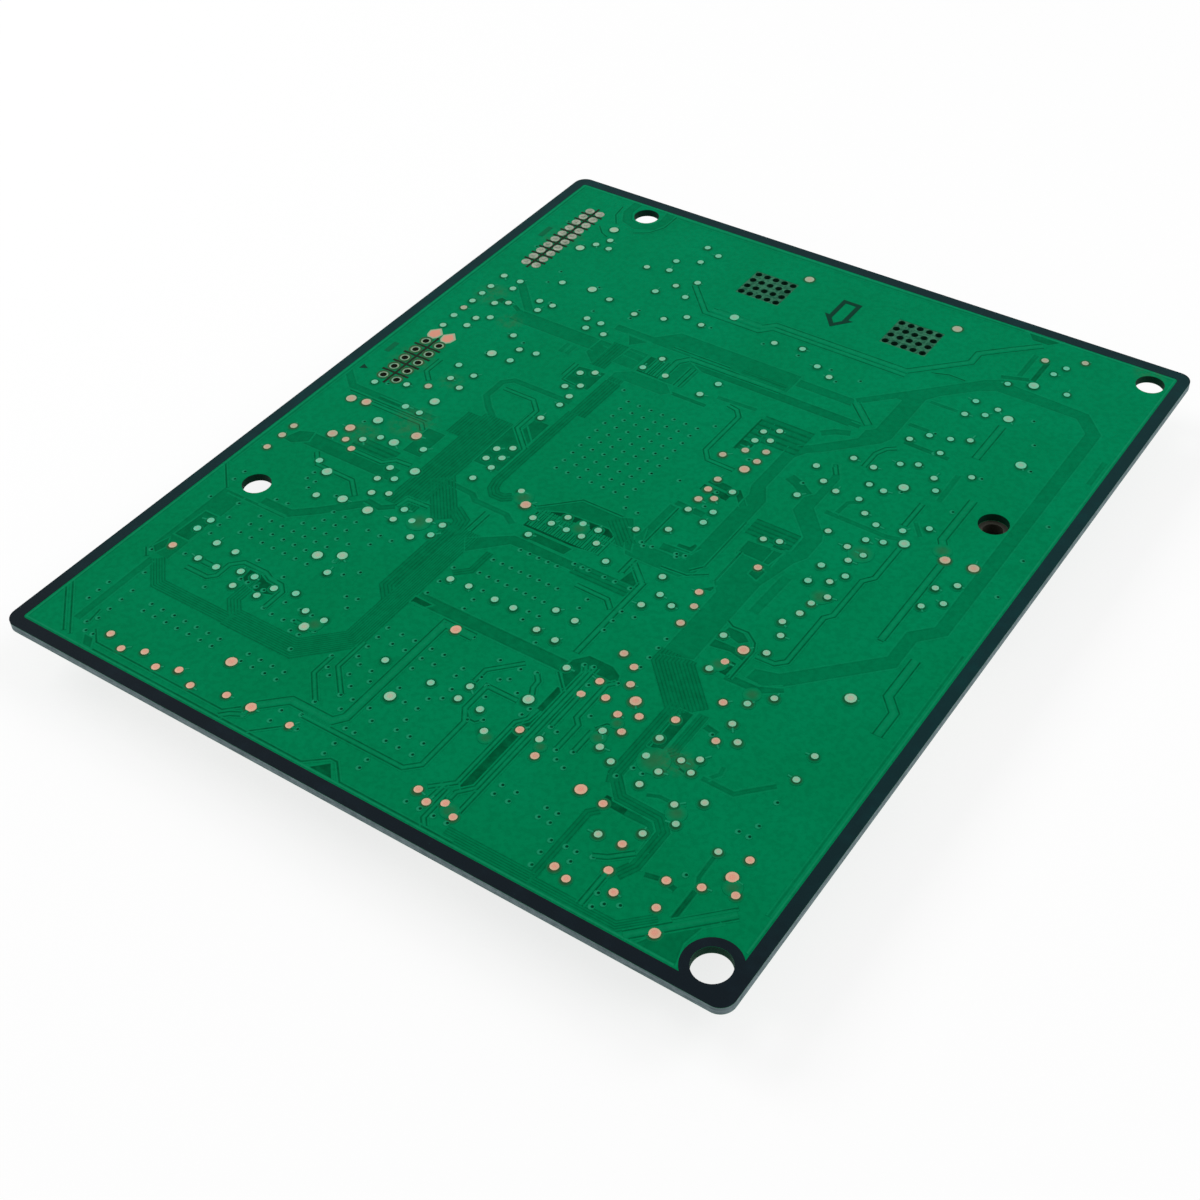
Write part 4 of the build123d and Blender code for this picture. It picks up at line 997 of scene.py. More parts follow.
LONE_VIAS = [
    (40.6, 83.2), (56.6, 83), (55.8, 61.2), (57.8, 61.2), (66.8, 57), (68, 57.3), (62.2, 56), (35.4, 16),
    (40.6, 17.9), (44.1, 10.7), (46, 13.3), (47.8, 13.5), (50.5, 13.5), (47.6, 17), (44.6, 16.6),
    (41.5, 16.1), (51.4, 18.1), (53.5, 16.6), (55.5, 16.6), (55.5, 14.4), (43.5, 19.6), (44.6, 18.6),
    (46.6, 18.5), (57, 19.6), (55.6, 18.6), (50.6, 21.6), (57, 21.4), (43.4, 21.6), (59, 28.6),
    (62.1, 28.7), (64.2, 29.3), (62, 26.6), (61, 25.9), (64.2, 25.2), (60.4, 24.2), (53.7, 30.1),
    (49, 30.1), (52.1, 12), (47.6, 11.5), (50.2, 9.4), (51.6, 9.4), (44.2, 8.2), (41.6, 7.4), (50.7, 6.8),
    (50.7, 4.9), (55.7, 6.9), (55.7, 5.4), (41.6, 5.4), (45.3, 6.1), (38.1, 4.4), (63.7, 4.4),
    (65.7, 4.4), (67.7, 4.4), (69.7, 4.4), (61.3, 22.6), (66.8, 22.6), (67.1, 23.9), (61.7, 18.4),
    (63.4, 19.4), (71, 22.9), (73.7, 20.2), (72.1, 22.6), (75.6, 21), (74, 26.9), (74.6, 19),
    (76.1, 18.4), (27.3, 19.8), (29, 19.5), (31, 19.5), (32.2, 20.1), (35.8, 20.1), (33.1, 18.5),
    (34.5, 18.5), (18, 18.6), (20.9, 22.3), (22.2, 22.3), (23.7, 22.3), (25, 22.3), (11.1, 22),
    (29, 22.1), (31.6, 22.1), (33.6, 22.1), (10.9, 30.7), (10.9, 28.8), (11.1, 26.9), (20.4, 26.3),
    (25.5, 25.6), (35, 27.2), (36.6, 27.6), (36.5, 25.6), (13.9, 37), (15.8, 37.2), (22.4, 39.2),
    (24.4, 39.2), (26.4, 39.2), (28.9, 38.8), (31, 38.8), (33, 38.8), (31, 36.7), (31.9, 30.2),
    (33.5, 31.7), (14.4, 42.8), (15.9, 42.8), (14.4, 44.3), (15.9, 41.3), (20.4, 42), (5.9, 39.2),
    (5.8, 37.2), (29.2, 31.6), (9.2, 16.4), (9.6, 5.6), (10.7, 4.4), (12, 4.4), (6.6, 20.2), (10, 33.6),
    (5.6, 32.6), (56.8, 37.6), (57, 36), (49.4, 37.6), (49.4, 35.6), (49.4, 33.6), (43.4, 39.1),
    (43.5, 36), (43.5, 33.4), (60.9, 33.5), (58.4, 37.6), (61.9, 43.5), (61.9, 41.6), (66.9, 44),
    (66.9, 42), (66.9, 40), (68.9, 44), (74.5, 42.9), (74.5, 41), (74.5, 39), (74.5, 37), (69.6, 33.9),
    (68.4, 33.6), (73.7, 33.2), (70.8, 31), (82, 20.7), (83, 22.8), (84.4, 22.6), (81.2, 8.8),
    (81.2, 6.8), (81.4, 4.8), (83.2, 9), (84.6, 9), (84.8, 7.5), (86.6, 9.4), (90.4, 3.7), (91.3, 4.7),
    (92.9, 5.5), (99.9, 23.2), (99.8, 21.3), (98.4, 21.3), (99.9, 27.3), (89.9, 5.6), (96.7, 12.9),
    (88, 32.2), (6.4, 117), (6.4, 108), (14.2, 104), (14.2, 100.5), (18, 96), (25, 97.6), (31, 101.5),
    (31, 99), (22, 103.5), (52, 104), (58, 104.2), (64, 103.6), (69, 103.4), (66, 101.4), (43, 103.4),
    (84, 98), (86, 94), (94.6, 108), (97, 103), (99, 97.4), (94, 92.4), (106, 88), (106, 80), (106.2, 72),
    (93.8, 84), (86, 84), (73.6, 78.6), (64.6, 79), (64.6, 70.6), (64.8, 67.2), (58.9, 70), (34.6, 81),
    (20.8, 85), (17.6, 80), (20, 74), (9.8, 66), (12.8, 57),
]
VIAS = [(x, y) for along, across in VIA_GRIDS for x in along for y in across] + LONE_VIAS
for x, y in VIAS:
    via(ETCHED, x, y)
print("vias:", len(VIAS))

# %% [markdown]
# The copper area ends just inside the printed border. The lacquer steps down there and catches the light,
# so a pale line runs round the board. The border's ring round the earthing hole interrupts it at one
# corner.

# %% The copper's edge
INSET = 2.15  # from the board's edge to the line
RING_SIDE, RING_FRONT = BOARD_X - 7.9, 7.6  # where the line stops on both sides of the ring
FAR_X, FAR_Y = BOARD_X - INSET, BOARD_Y - INSET
EDGE_PATH = [(FAR_X, RING_FRONT), (FAR_X, FAR_Y), (INSET, FAR_Y), (INSET, INSET), (RING_SIDE, INSET)]
strip(ETCHED, EDGE_PATH, both_sides([(0.0, 0.012, -0.3), (0.12, 0.004, -0.1), (0.2, 0.0, 0.0)]))
print("edge line with", len(EDGE_PATH), "points")

# %% [markdown]
# Round each pad the lacquer stops short, and flux from the soldering has dried in the ring that is left.
# Each halo is shifted a little towards the front, so the ring is darker on that side, as painted shade.
# About half of the pads also have a short neck of track, whose lacquer shines.

# %% Halos round the pads
def halo(relief, x, y, radius, brown, dice):
    """A dark ring of bare glass and dried flux, shifted forwards so that its darker side is painted shade.
    """
    spot = (x + 0.05 * dice.uniform(0.3, 1.8), y - 0.12 * dice.uniform(0.3, 1.8))
    reach = radius + dice.uniform(0.08, 0.2)
    outer, middle = (reach + 0.22, 0.0, 0.0, 0.0), (reach, 0.004, 0.6, brown * 0.4)
    relief.rosette(spot, [outer, middle, (radius * 0.9, 0.006, 1.0, brown)], 16)


def neck(relief, x, y, radius, dice):
    """A short stretch of track that leaves a pad."""
    turn = math.radians(dice.choice((0, 0, 45, -45, 90, 180)) + dice.uniform(-12, 12))
    way = Vector((math.cos(turn), math.sin(turn)))
    start, end = (Vector((x, y)) + way * (radius + reach) for reach in (0.1, dice.uniform(0.35, 0.9)))
    # painted highlight: the neck's lacquer is paler, with etch under 0, as its shine
    strip(relief, [start, end], both_sides([(0.0, 0.02, -0.75), (0.09, 0.008, -0.2), (0.2, 0.0, 0.25)]))


def brownness(node, x, y):
    """How brown the flux is: most round bare copper, more at the front right than elsewhere."""
    if "copper" in node:
        return 0.35
    return 0.2 if x > 72 and y < 60 else 0.06


dice = random.Random(12)
for node, found in PADS.items():
    for x, y, radius in found:
        if dice.random() < 0.55:
            neck(ETCHED, x, y, radius, dice)
        halo(ETCHED, x, y, radius, brownness(node, x, y) * dice.uniform(0.4, 1.3), dice)
print("halos:", sum(len(found) for found in PADS.values()))

# %% [markdown]
# Lacquer laps a little over the ring of each open plated hole, and is stained there. Flux has also dried
# in small brown spots between the pads. Both are forms of the same relief, which is made into one piece
# here.

# %% Laps of lacquer and spots of flux
RING_LAP_R = 0.86
# place across, height, etch, stain
RING_LAP = [(-0.22, 0, 0, 0.1), (-0.12, 0.01, 0.4, 0.3), (-0.02, 0.014, 0.8, 0.4), (0.08, 0.012, 0.9, 0.4)]
TURNS = [math.tau * n / 20 for n in range(20)]
for box in solids("spare_hole_barrels"):
    x, y, _ = in_plan(box)
    circle = [(x + RING_LAP_R * math.cos(turn), y + RING_LAP_R * math.sin(turn)) for turn in TURNS]
    strip(ETCHED, circle, RING_LAP, closed=True)
# share of the reach, height, etch, stain
FLUX_SPOT = [(1.5, 0, 0, 0), (1, 0, 0, 0.06), (0.6, 0.001, 0.15, 0.16), (0.2, 0.001, 0.2, 0.22)]
FLUX_SPOTS = [  # place, reach
    ((42.7, 55.5), 1), ((53, 54.4), 0.9), ((87, 60), 1), ((87.4, 70), 1.2), ((96.2, 76.2), 0.9),
    ((91, 19.7), 0.9), ((77.4, 27.6), 0.6), ((76.8, 24.5), 0.7), ((84.4, 25), 1.4), ((88.2, 26.8), 0.8),
    ((102, 14.2), 0.8), ((33.6, 43.8), 1.2), ((35, 21), 0.8), ((71.8, 19.6), 0.6), ((65.4, 17.3), 0.7),
    ((68.8, 6), 0.8), ((82.4, 42.6), 0.8), ((88.6, 40.4), 0.8),
]
for place, reach in FLUX_SPOTS:
    ETCHED.rosette(place, [(reach * share, *rest) for share, *rest in FLUX_SPOT], 20)
ETCHED.made("etched_tracks", LACQUER)

# %% [markdown]
# The other side carries the parts. Their bodies are already there as solids, and what makes them real is
# the metal round them: leads, end caps, feet and the solder that holds them. A casting gathers many such
# small forms in one mesh: blocks with eased edges, ribbons bent along a path, and turned forms. Writing
# the points one by one is quicker to run than a bevel modifier on each of several hundred pieces.

# %% Castings
UP = Vector((0, 0, 1))
SMOOTH_ANGLE = math.radians(38)  # faces that meet more sharply keep their edge
SQUARE = [(-1, -1), (1, -1), (1, 1), (-1, 1)]


class Casting:
    """One mesh put together from small solid forms, in metres."""

    def __init__(self):
        self.points = []
        self.faces = []

    def add(self, points, faces):
        first = len(self.points)
        self.points += points
        self.faces += [tuple(first + n for n in face) for face in faces]

    def block(self, low, high, bevel=0.05):
        """A block with all its edges eased by a bevel in millimetres."""
        low, high = Vector(low), Vector(high)
        middle, half = (low + high) / 2, (high - low) / 2
        ease = min(bevel * MM, min(half) * 0.45)
        signs = (-1, 1)
        corners = [(x, y, z) for x in signs for y in signs for z in signs]
        number = {}
        points = []
        for corner in corners:
            for axis in range(3):
                number[corner, axis] = len(points)
                reach = [half[n] - (0 if n == axis else ease) for n in range(3)]
                points.append(middle + Vector([s * r for s, r in zip(corner, reach)]))
        faces = [tuple(number[corner, axis] for axis in range(3)) for corner in corners]
        for axis in range(3):
            one, other = [n for n in range(3) if n != axis]

            def corner(along, s, t):
                held = {axis: along, one: s, other: t}
                return tuple(held[n] for n in range(3))

            faces += [tuple(number[corner(along, s, t), axis] for s, t in SQUARE) for along in signs]
            for s, t in SQUARE:
                near, far = corner(-1, s, t), corner(1, s, t)
                faces.append((number[near, one], number[near, other], number[far, other], number[far, one]))
        self.add(points, faces)

    def ribbon(self, path, across, width, thick):
        """A strip of metal bent along a path, whose width lies along across."""
        across = Vector(across).normalized()
        steps = [(b - a).normalized() for a, b in zip(path, path[1:])]
        ups = [step.cross(across) for step in steps]
        joins = [ups[0]] + [(a + b) / (1 + a.dot(b)) for a, b in zip(ups, ups[1:])] + [ups[-1]]
        points = [
            place + across * (side * width * MM / 2) + up * (level * thick * MM / 2)
            for place, up in zip(path, joins)
            for side, level in SQUARE
        ]
        faces = [(3, 2, 1, 0), tuple(range(len(points) - 4, len(points)))]
        for n in range(0, len(points) - 4, 4):
            faces += [(n + k, n + (k + 1) % 4, n + 4 + (k + 1) % 4, n + 4 + k) for k in range(4)]
        self.add(points, faces)

    def turned(self, middle, profile, sides=28, flatten=1.0):
        """A form turned about an upright axis through middle, from (radius, height) in millimetres."""
        turns = [math.tau * n / sides for n in range(sides)]
        circle = [(math.cos(turn), math.sin(turn) * flatten) for turn in turns]
        points = [
            Vector(middle) + Vector((radius * x, radius * y, height)) * MM
            for radius, height in profile
            for x, y in circle
        ]
        faces = [tuple(range(sides)), tuple(range(len(points) - sides, len(points)))]
        for row in range(len(profile) - 1):
            for n in range(sides):
                a, b = row * sides + n, row * sides + (n + 1) % sides
                faces.append((a, b, b + sides, a + sides))
        self.add(points, faces)

    def made(self, name, material, slot):
        """The finished piece, smooth where its faces nearly line up."""
        mesh = bpy.data.meshes.new(name)
        mesh.from_pydata([tuple(p) for p in self.points], [], self.faces)
        work = bmesh.new()
        work.from_mesh(mesh)
        bmesh.ops.recalc_face_normals(work, faces=work.faces)
        work.to_mesh(mesh)
        work.free()
        mesh.polygons.foreach_set("use_smooth", [True] * len(mesh.polygons))
        mesh.set_sharp_from_angle(angle=SMOOTH_ANGLE)
        return on_board(name, mesh, material)


print("castings ready")

# %% [markdown]
# The plug header is soldered through the board. Solder wets both the pad and the pin, so each joint is a
# low mound with a hollow flank, drawn up a little at the pin. A turned form has that profile.

# %% Header joints
SOLDER = metal("solder", srgb(168, 180, 160), srgb(126, 146, 124), 0.55, 0.36, 0.3)
JOINT_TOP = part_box("plug_header_joints")[1].z
MOUND = [(1.0, 0.01), (0.97, 0.3), (0.86, 0.42), (0.66, 0.62), (0.46, 0.92), (0.38, 1.0)]  # shares
joints = Casting()
dice = random.Random(5)
for low, high in solids("plug_header_joints"):
    middle = Vector(((low.x + high.x) / 2, (low.y + high.y) / 2, LACQUER_TOP))
    rise = (JOINT_TOP - LACQUER_TOP) / MM * dice.uniform(0.86, 1.0)
    reach = (high.x - low.x) / 2 / MM * dice.uniform(0.97, 1.02)
    joints.turned(middle, [(radius * reach, level * rise) for radius, level in MOUND], 20)
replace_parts(joints.made("header_solder_mounds", SOLDER, "solder"), "plug_header_joints")

# %% [markdown]
# Chips are moulded in black epoxy. The mould leaves a matt skin, a little paler where it rubbed, and a
# fine grain that shows only in glancing light. Other plastics differ in colour, gloss and grain alone, so
# one function makes them all.

# %% Moulded plastics
def moulded(name, colour, worn, roughness, grain=0.25, **constants):
    """Plastic with a cloudy skin, a fine grain and a few pale rubbed specks."""
    finish = Finish(name, **constants)
    cloud = finish.noise(2.2, 3.0, 0.6)
    fine = finish.noise(grain, 2.0)
    rubbed = finish.specks(1.8, 0.06) * 0.4
    shade = (cloud * 0.7 + fine * 0.3).between(0.3, 0.8).blend(colour, worn)
    gloss = roughness + cloud * 0.12 + fine * 0.08
    return finish.done(rubbed.blend(shade, worn), gloss, fine * 0.7 + cloud * 0.3, 0.008)


CHIPS = ["processor", "program_memory", "settings_memory", "bus_transceiver", "heater_driver", "fan_driver"]
CHIPS += ["damper_driver", "couplers", "regulator", "diodes", "transistors"]
CHIP_BLACK = moulded("chip_black", srgb(30, 31, 33), srgb(46, 47, 48), 0.5, Specular_IOR_Level=0.4)
SOUNDER_BROWN = moulded("sounder_brown", srgb(44, 44, 36), srgb(58, 56, 46), 0.45, 0.5)
dress(CHIPS, CHIP_BLACK)
dress(["door_alarm_buzzer"], SOUNDER_BROWN)
dress(["capacitor_bases"], moulded("base_black", srgb(26, 26, 28), srgb(42, 42, 44), 0.38, 0.6))
dress(["fuse"], moulded("fuse_body", srgb(222, 216, 200), srgb(198, 190, 172), 0.5, 0.2))
dress(["ceramic_capacitors"], moulded("capacitor_tan", srgb(166, 128, 88), srgb(142, 106, 72), 0.4, 0.3))
print("plastics on", len(CHIPS), "kinds of chip and four other parts")

# %% [markdown]
# The connectors are moulded in ivory nylon, which lets a little light into it, and their corners are
# never quite sharp. The solids have sharp corners, so an eased copy stands for each of them: its flat
# faces are joined first, and only then are its edges rounded, because a bevel would otherwise follow
# every triangle.

# %% Connector shrouds
FLAT_ANGLE, CORNER_ANGLE = 0.02, 0.5  # radians: faces that nearly line up, and edges to round


def eased(name, ease, material):
    """A copy of a node's mesh with its sharp edges rounded by some millimetres, in place of the node."""
    work = bmesh.new()
    work.from_mesh(NODES[name].data)
    bmesh.ops.remove_doubles(work, verts=work.verts, dist=WELD)
    bmesh.ops.dissolve_limit(work, angle_limit=FLAT_ANGLE, verts=work.verts, edges=work.edges)
    inner = [edge for edge in work.edges if len(edge.link_faces) == 2]
    sharp = [edge for edge in inner if edge.calc_face_angle() > CORNER_ANGLE]
    settings = {"segments": 2, "profile": 0.6, "affect": "EDGES", "clamp_overlap": True}
    bmesh.ops.bevel(work, geom=sharp, offset=ease * MM, **settings)
    mesh = bpy.data.meshes.new(name + "_eased")
    work.to_mesh(mesh)
    work.free()
    mesh.polygons.foreach_set("use_smooth", [True] * len(mesh.polygons))
    mesh.set_sharp_from_angle(angle=math.radians(50))
    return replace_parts(on_board(name + "_eased", mesh, material), name)


IVORY, WORN_IVORY = srgb(228, 222, 204), srgb(212, 204, 184)
NYLON = moulded("connector_white", IVORY, WORN_IVORY, 0.4, 0.5, Subsurface_Weight=0.08)
SHROUDS = [name for name in NODES if name.endswith("_shroud")]
dress(SHROUDS, NYLON)
for name in SHROUDS:
    eased(name, 0.1, NYLON)

# %% [markdown]
# The inductors' ferrite is pressed and fired powder, rough and full of pits. Chip resistors and the lamp
# are slivers of ceramic with a coat on the face away from the board only, so their finish asks which way
# a surface faces. The cans of the capacitors and of the crystal are drawn metal, so they use the metal
# finish with its grain drawn out.

# %% Ferrite, chip resistors, lamp and cans
def ferrite():
    """Dark grey, rough, with pits and pale grains."""
    finish = Finish("ferrite", Specular_IOR_Level=0.3)
    grain = finish.noise(0.18, 3.0, 0.7)
    pits = finish.specks(0.9, 0.16)
    shade = grain.between(0.35, 0.7).blend(srgb(44, 45, 48), srgb(74, 75, 76))
    shade = (pits * 0.7).blend(shade, srgb(24, 24, 26))
    return finish.done(shade, 0.62 + grain * 0.2, grain * 0.5 + (1 - pits) * 0.5, 0.03)


def layered_chip(name, top, side, sheen):
    """A small chip part: the face away from the board has one colour and its ceramic sides another."""
    finish = Finish(name, Specular_IOR_Level=0.45)
    fine = finish.noise(0.2, 2.0)
    away = (0 - finish.facing("Z")).between(0.5, 0.8)
    shade = (fine * 0.3).blend(away.blend(side, top), srgb(120, 118, 112))
    return finish.done(shade, sheen + fine * 0.2, fine, 0.006)


FERRITE = ferrite()
CAN = metal("can_aluminium", srgb(206, 208, 210), srgb(180, 183, 186), 0.95, 0.26, 0.5, (1, 1, 0.08))
CRYSTAL_CAN = metal("crystal_can", srgb(196, 196, 190), srgb(170, 170, 164), 0.95, 0.24, 0.4, (0.15, 1, 1))
dress(["inductors"], FERRITE)
dress(["chip_resistors"], layered_chip("resistor_black", srgb(22, 22, 24), srgb(214, 210, 200), 0.28))
dress(["status_lamp"], layered_chip("lamp_lens", srgb(236, 226, 170), srgb(232, 228, 214), 0.18))
dress(["capacitor_cans"], CAN)
dress(["clock_crystal"], CRYSTAL_CAN)
print("ferrite, lamp, resistors and cans")

# %% [markdown]
# Surface-mounted chips stand on gull-wing leads: strips that leave the body half way up, bend down to the
# board and end in a flat foot, soldered to its own pad. Every chip has its own number of leads and
# spacing, so one function draws them along any two opposite sides.

# %% Leads of the chips
LEADS = Casting()
FOOTPRINTS = Casting()
X_AXIS, Y_AXIS = Vector((1, 0, 0)), Vector((0, 1, 0))
SOLDER_BED = 0.06  # millimetres of solder and pad under a foot


def upright(place, level):
    return Vector((place.x, place.y, level))


def footprint(place, run, out, width, length):
    """A pad with a low bed of solder under one foot."""
    half = run * (width * MM / 2) + out * (length * MM / 2)
    half = Vector((abs(half.x), abs(half.y), 0))
    low, high = upright(place - half, PART_SIDE - SOLDER_BED * MM), upright(place + half, PART_SIDE)
    FOOTPRINTS.block(low, high, 0.03)


def gull_wing(root, out, run, level, reach, width, thick):
    """One lead, from the body's side at a level, out and down to its foot."""
    way = out * reach * MM
    foot = PART_SIDE - (SOLDER_BED + thick / 2) * MM
    bends = ((-0.15, level), (0.28, level), (0.48, foot), (1.0, foot))
    LEADS.ribbon([upright(root + way * share, height) for share, height in bends], run, width, thick)
    footprint(root + way * 0.78, run, out, width * 1.35, reach * 0.75)


def lead_rows(name, count, pitch, run, width, reach=1.1, thick=0.18, sides=(-1, 1)):
    """Rows of leads on the sides of each chip of a node, which run along one axis."""
    out = Y_AXIS if run is X_AXIS else X_AXIS
    for low, high in solids(name):
        middle, half = (low + high) / 2, (high - low).dot(out) / 2
        for side in sides:
            for n in range(count):
                root = middle + run * (n - (count - 1) / 2) * pitch * MM + out * side * half
                gull_wing(root, out * side, run, middle.z, reach, width, thick)


for name, count, pitch, run, width, reach in (
    ("processor", 44, 0.5, X_AXIS, 0.22, 1.0), ("processor", 44, 0.5, Y_AXIS, 0.22, 1.0),
    ("heater_driver", 8, 1.27, X_AXIS, 0.42, 1.5), ("fan_driver", 8, 1.27, X_AXIS, 0.42, 1.5),
    ("damper_driver", 8, 1.27, X_AXIS, 0.42, 1.5), ("program_memory", 4, 1.27, X_AXIS, 0.42, 1.3),
    ("settings_memory", 4, 1.27, X_AXIS, 0.42, 1.1), ("bus_transceiver", 4, 1.27, X_AXIS, 0.42, 1.1),
    ("couplers", 2, 2.54, Y_AXIS, 0.45, 1.5),
):
    lead_rows(name, count, pitch, run, width, reach)
lead_rows("regulator", 2, 4.57, X_AXIS, 0.9, 2.4, 0.5, sides=(-1,))
lead_rows("transistors", 2, 1.9, X_AXIS, 0.4, 0.55, 0.12, sides=(-1,))
lead_rows("transistors", 1, 1.9, X_AXIS, 0.4, 0.55, 0.12, sides=(1,))
print("lead faces:", len(LEADS.faces))

# %% [markdown]
# Chip resistors, ceramic capacitors, the lamp and the fuse have metal caps on their two ends, which go
# all the way round. Each cap is a block a skin thicker than the body, over a share of its length.

# %% End caps
CAPS = Casting()


def end_caps(name, share, skin=0.02, bevel=0.06):
    """A metal cap over each end of every solid of a node, a skin thicker than its body."""
    for low, high in solids(name):
        run, other = (X_AXIS, Y_AXIS) if high.x - low.x > high.y - low.y else (Y_AXIS, X_AXIS)
        length, width = (high - low).dot(run), (high - low).dot(other)
        grow = other * skin * MM
        for near, far in ((-skin * MM, length * share), (length * (1 - share), length + skin * MM)):
            start = low - grow - UP * skin * MM + run * near
            end = Vector(low) + other * width + grow + run * far
            CAPS.block(start, upright(end, PART_SIDE - 0.05 * MM), bevel)
            outward = run * (1 if near > 0 else -1)
            middle = (start + end) / 2 + outward * 0.2 * MM
            footprint(middle, other, run, width / MM + 0.25, (far - near) / MM + 0.5)


end_caps("chip_resistors", 0.2)
end_caps("ceramic_capacitors", 0.22)
end_caps("status_lamp", 0.2)
end_caps("fuse", 0.2, 0.05, 0.2)
print("cap faces:", len(CAPS.faces))

# %% [markdown]
# Diodes have strips that fold in under the body, the cans and the inductors have short flat feet, and the
# crystal's can is welded to a base with a flange. With these, all the bright metal of the part side is
# there, and the three castings become pieces.

# %% Feet
for low, high in solids("diodes"):
    middle, half = (low + high) / 2, (high.x - low.x) / 2
    for out in (-X_AXIS, X_AXIS):
        root = middle + out * half
        foot = PART_SIDE - 0.16 * MM
        bend = [upright(root - out * 0.3 * MM, middle.z), upright(root + out * 0.25 * MM, middle.z)]
        bend += [upright(root + out * 0.25 * MM, foot), upright(root - out * 1.0 * MM, foot)]
        LEADS.ribbon(bend, Y_AXIS, 2.1, 0.2)
        footprint(root - out * 0.1 * MM, Y_AXIS, out, 2.5, 1.7)
for name, width, reach in (("capacitor_bases", 0.9, 0.7), ("inductors", 2.6, 0.35)):
    for low, high in solids(name):
        for out in (-Y_AXIS, Y_AXIS):
            root = upright((low + high) / 2 + out * (high.y - low.y) / 2, PART_SIDE - 0.12 * MM)
            LEADS.ribbon([root - out * 0.6 * MM, root + out * reach * MM], X_AXIS, width, 0.16)
            footprint(root + out * reach * 0.5 * MM, X_AXIS, Y_AXIS, width + 0.3, reach + 1.0)
for low, high in solids("clock_crystal"):
    middle = upright((low + high) / 2, PART_SIDE)
    half, depth = (high.x - low.x) / 2 / MM, (high.y - low.y) / 2 / MM
    flange = [(half + 0.35, -0.08), (half + 0.4, -0.25), (half + 0.3, -0.42), (half - 0.2, -0.44)]
    CAPS.turned(middle, flange, 48, (depth + 0.35) / (half + 0.35))
    for out in (-X_AXIS, X_AXIS):
        footprint(middle + out * (half + 0.6) * MM, Y_AXIS, X_AXIS, 1.2, 2.4)
LEAD_TIN = metal("lead_tin", srgb(190, 192, 188), srgb(158, 160, 154), 0.85, 0.32, 0.2)
CAP_TIN = metal("cap_tin", srgb(198, 198, 192), srgb(170, 170, 162), 0.8, 0.3, 0.25)
LEADS.made("chip_leads", LEAD_TIN, "pin_metal")
CAPS.made("end_caps", CAP_TIN, "tab_metal")
FOOTPRINTS.made("part_side_solder", SOLDER, "solder")

# %% [markdown]
# Each capacitor can has a black half-moon printed on its end, over the minus lead, and three scored lines
# that let it open safely. A half-moon is a thin slab between an arc and its chord, and the scores are
# fine ribbons.

# %% Marks on the cans
MARKS = Casting()
ARC_STEPS = 20
ARC = [math.radians(90 + 64 - 128 * n / ARC_STEPS) for n in range(ARC_STEPS + 1)]


def half_moon(middle, radius):
    """A thin slab within the end of a can, on its minus side."""
    edge = [middle + Vector((math.cos(t), math.sin(t), 0)) * radius * MM for t in ARC]
    count = len(edge)
    faces = [tuple(range(count)), tuple(range(count, 2 * count))]
    faces += [(n, n + 1, n + count + 1, n + count) for n in range(ARC_STEPS)]
    MARKS.add([point - UP * 0.012 * MM for point in edge] + edge, faces)


def scores(middle, radius):
    """Three lines across the end of a can, which cross in its middle."""
    for turn in (0.3, 0.3 + math.pi / 3, 0.3 + 2 * math.pi / 3):
        way = Vector((math.cos(turn), math.sin(turn), 0))
        reach = way * radius * 0.75 * MM
        MARKS.ribbon([middle - reach, middle + reach], way.cross(UP), 0.09, 0.03)


for low, high in solids("capacitor_cans"):
    middle, radius = upright((low + high) / 2, low.z), (high.x - low.x) / 2 / MM - 0.32
    half_moon(middle, radius)
    scores(middle, radius)
MARKS.made("can_marks", CHIP_BLACK, "chip_black")

# %% [markdown]
# The inductors have a rim round the winding's window, and the sounder has a moulded rim and a ring round
# its mouth. All of them are turned forms on the ends of plain cylinders.

# %% Rims of the inductors and the sounder
INDUCTOR_RIM = [(3.3, 0.1), (3.3, -0.06), (3.18, -0.12), (2.86, -0.12), (2.74, -0.06), (2.74, 0.1)]
MOUTH_RING = [(2.3, 0.1), (2.3, -0.1), (2.15, -0.16), (0.9, -0.16), (0.75, -0.1), (0.75, 0.1)]
SOUNDER_RIM = [(0.14, 1.0), (0.14, 0.15), (-0.05, -0.06), (-0.6, -0.12), (-0.9, 0.0)]  # past its radius
rims = Casting()
for low, high in solids("inductors"):
    rims.turned(upright((low + high) / 2, low.z), INDUCTOR_RIM, 40)
rims.made("inductor_rims", FERRITE, "ferrite")
sounder = Casting()
for low, high in solids("door_alarm_buzzer"):
    middle, radius = upright((low + high) / 2, low.z), (high.x - low.x) / 2 / MM
    sounder.turned(middle, [(radius + past, height) for past, height in SOUNDER_RIM], 56)
    sounder.turned(middle, MOUTH_RING, 40)
sounder.made("sounder_rim", SOUNDER_BROWN, "sounder_brown")

# %% [markdown]
# The part side has its own etched lines. Its vias are the same holes as on the soldered side, so they use
# the same list, and its tracks run between the parts that they would join: out of the processor in fans,
# along the connectors, and in wide bands to the power parts.

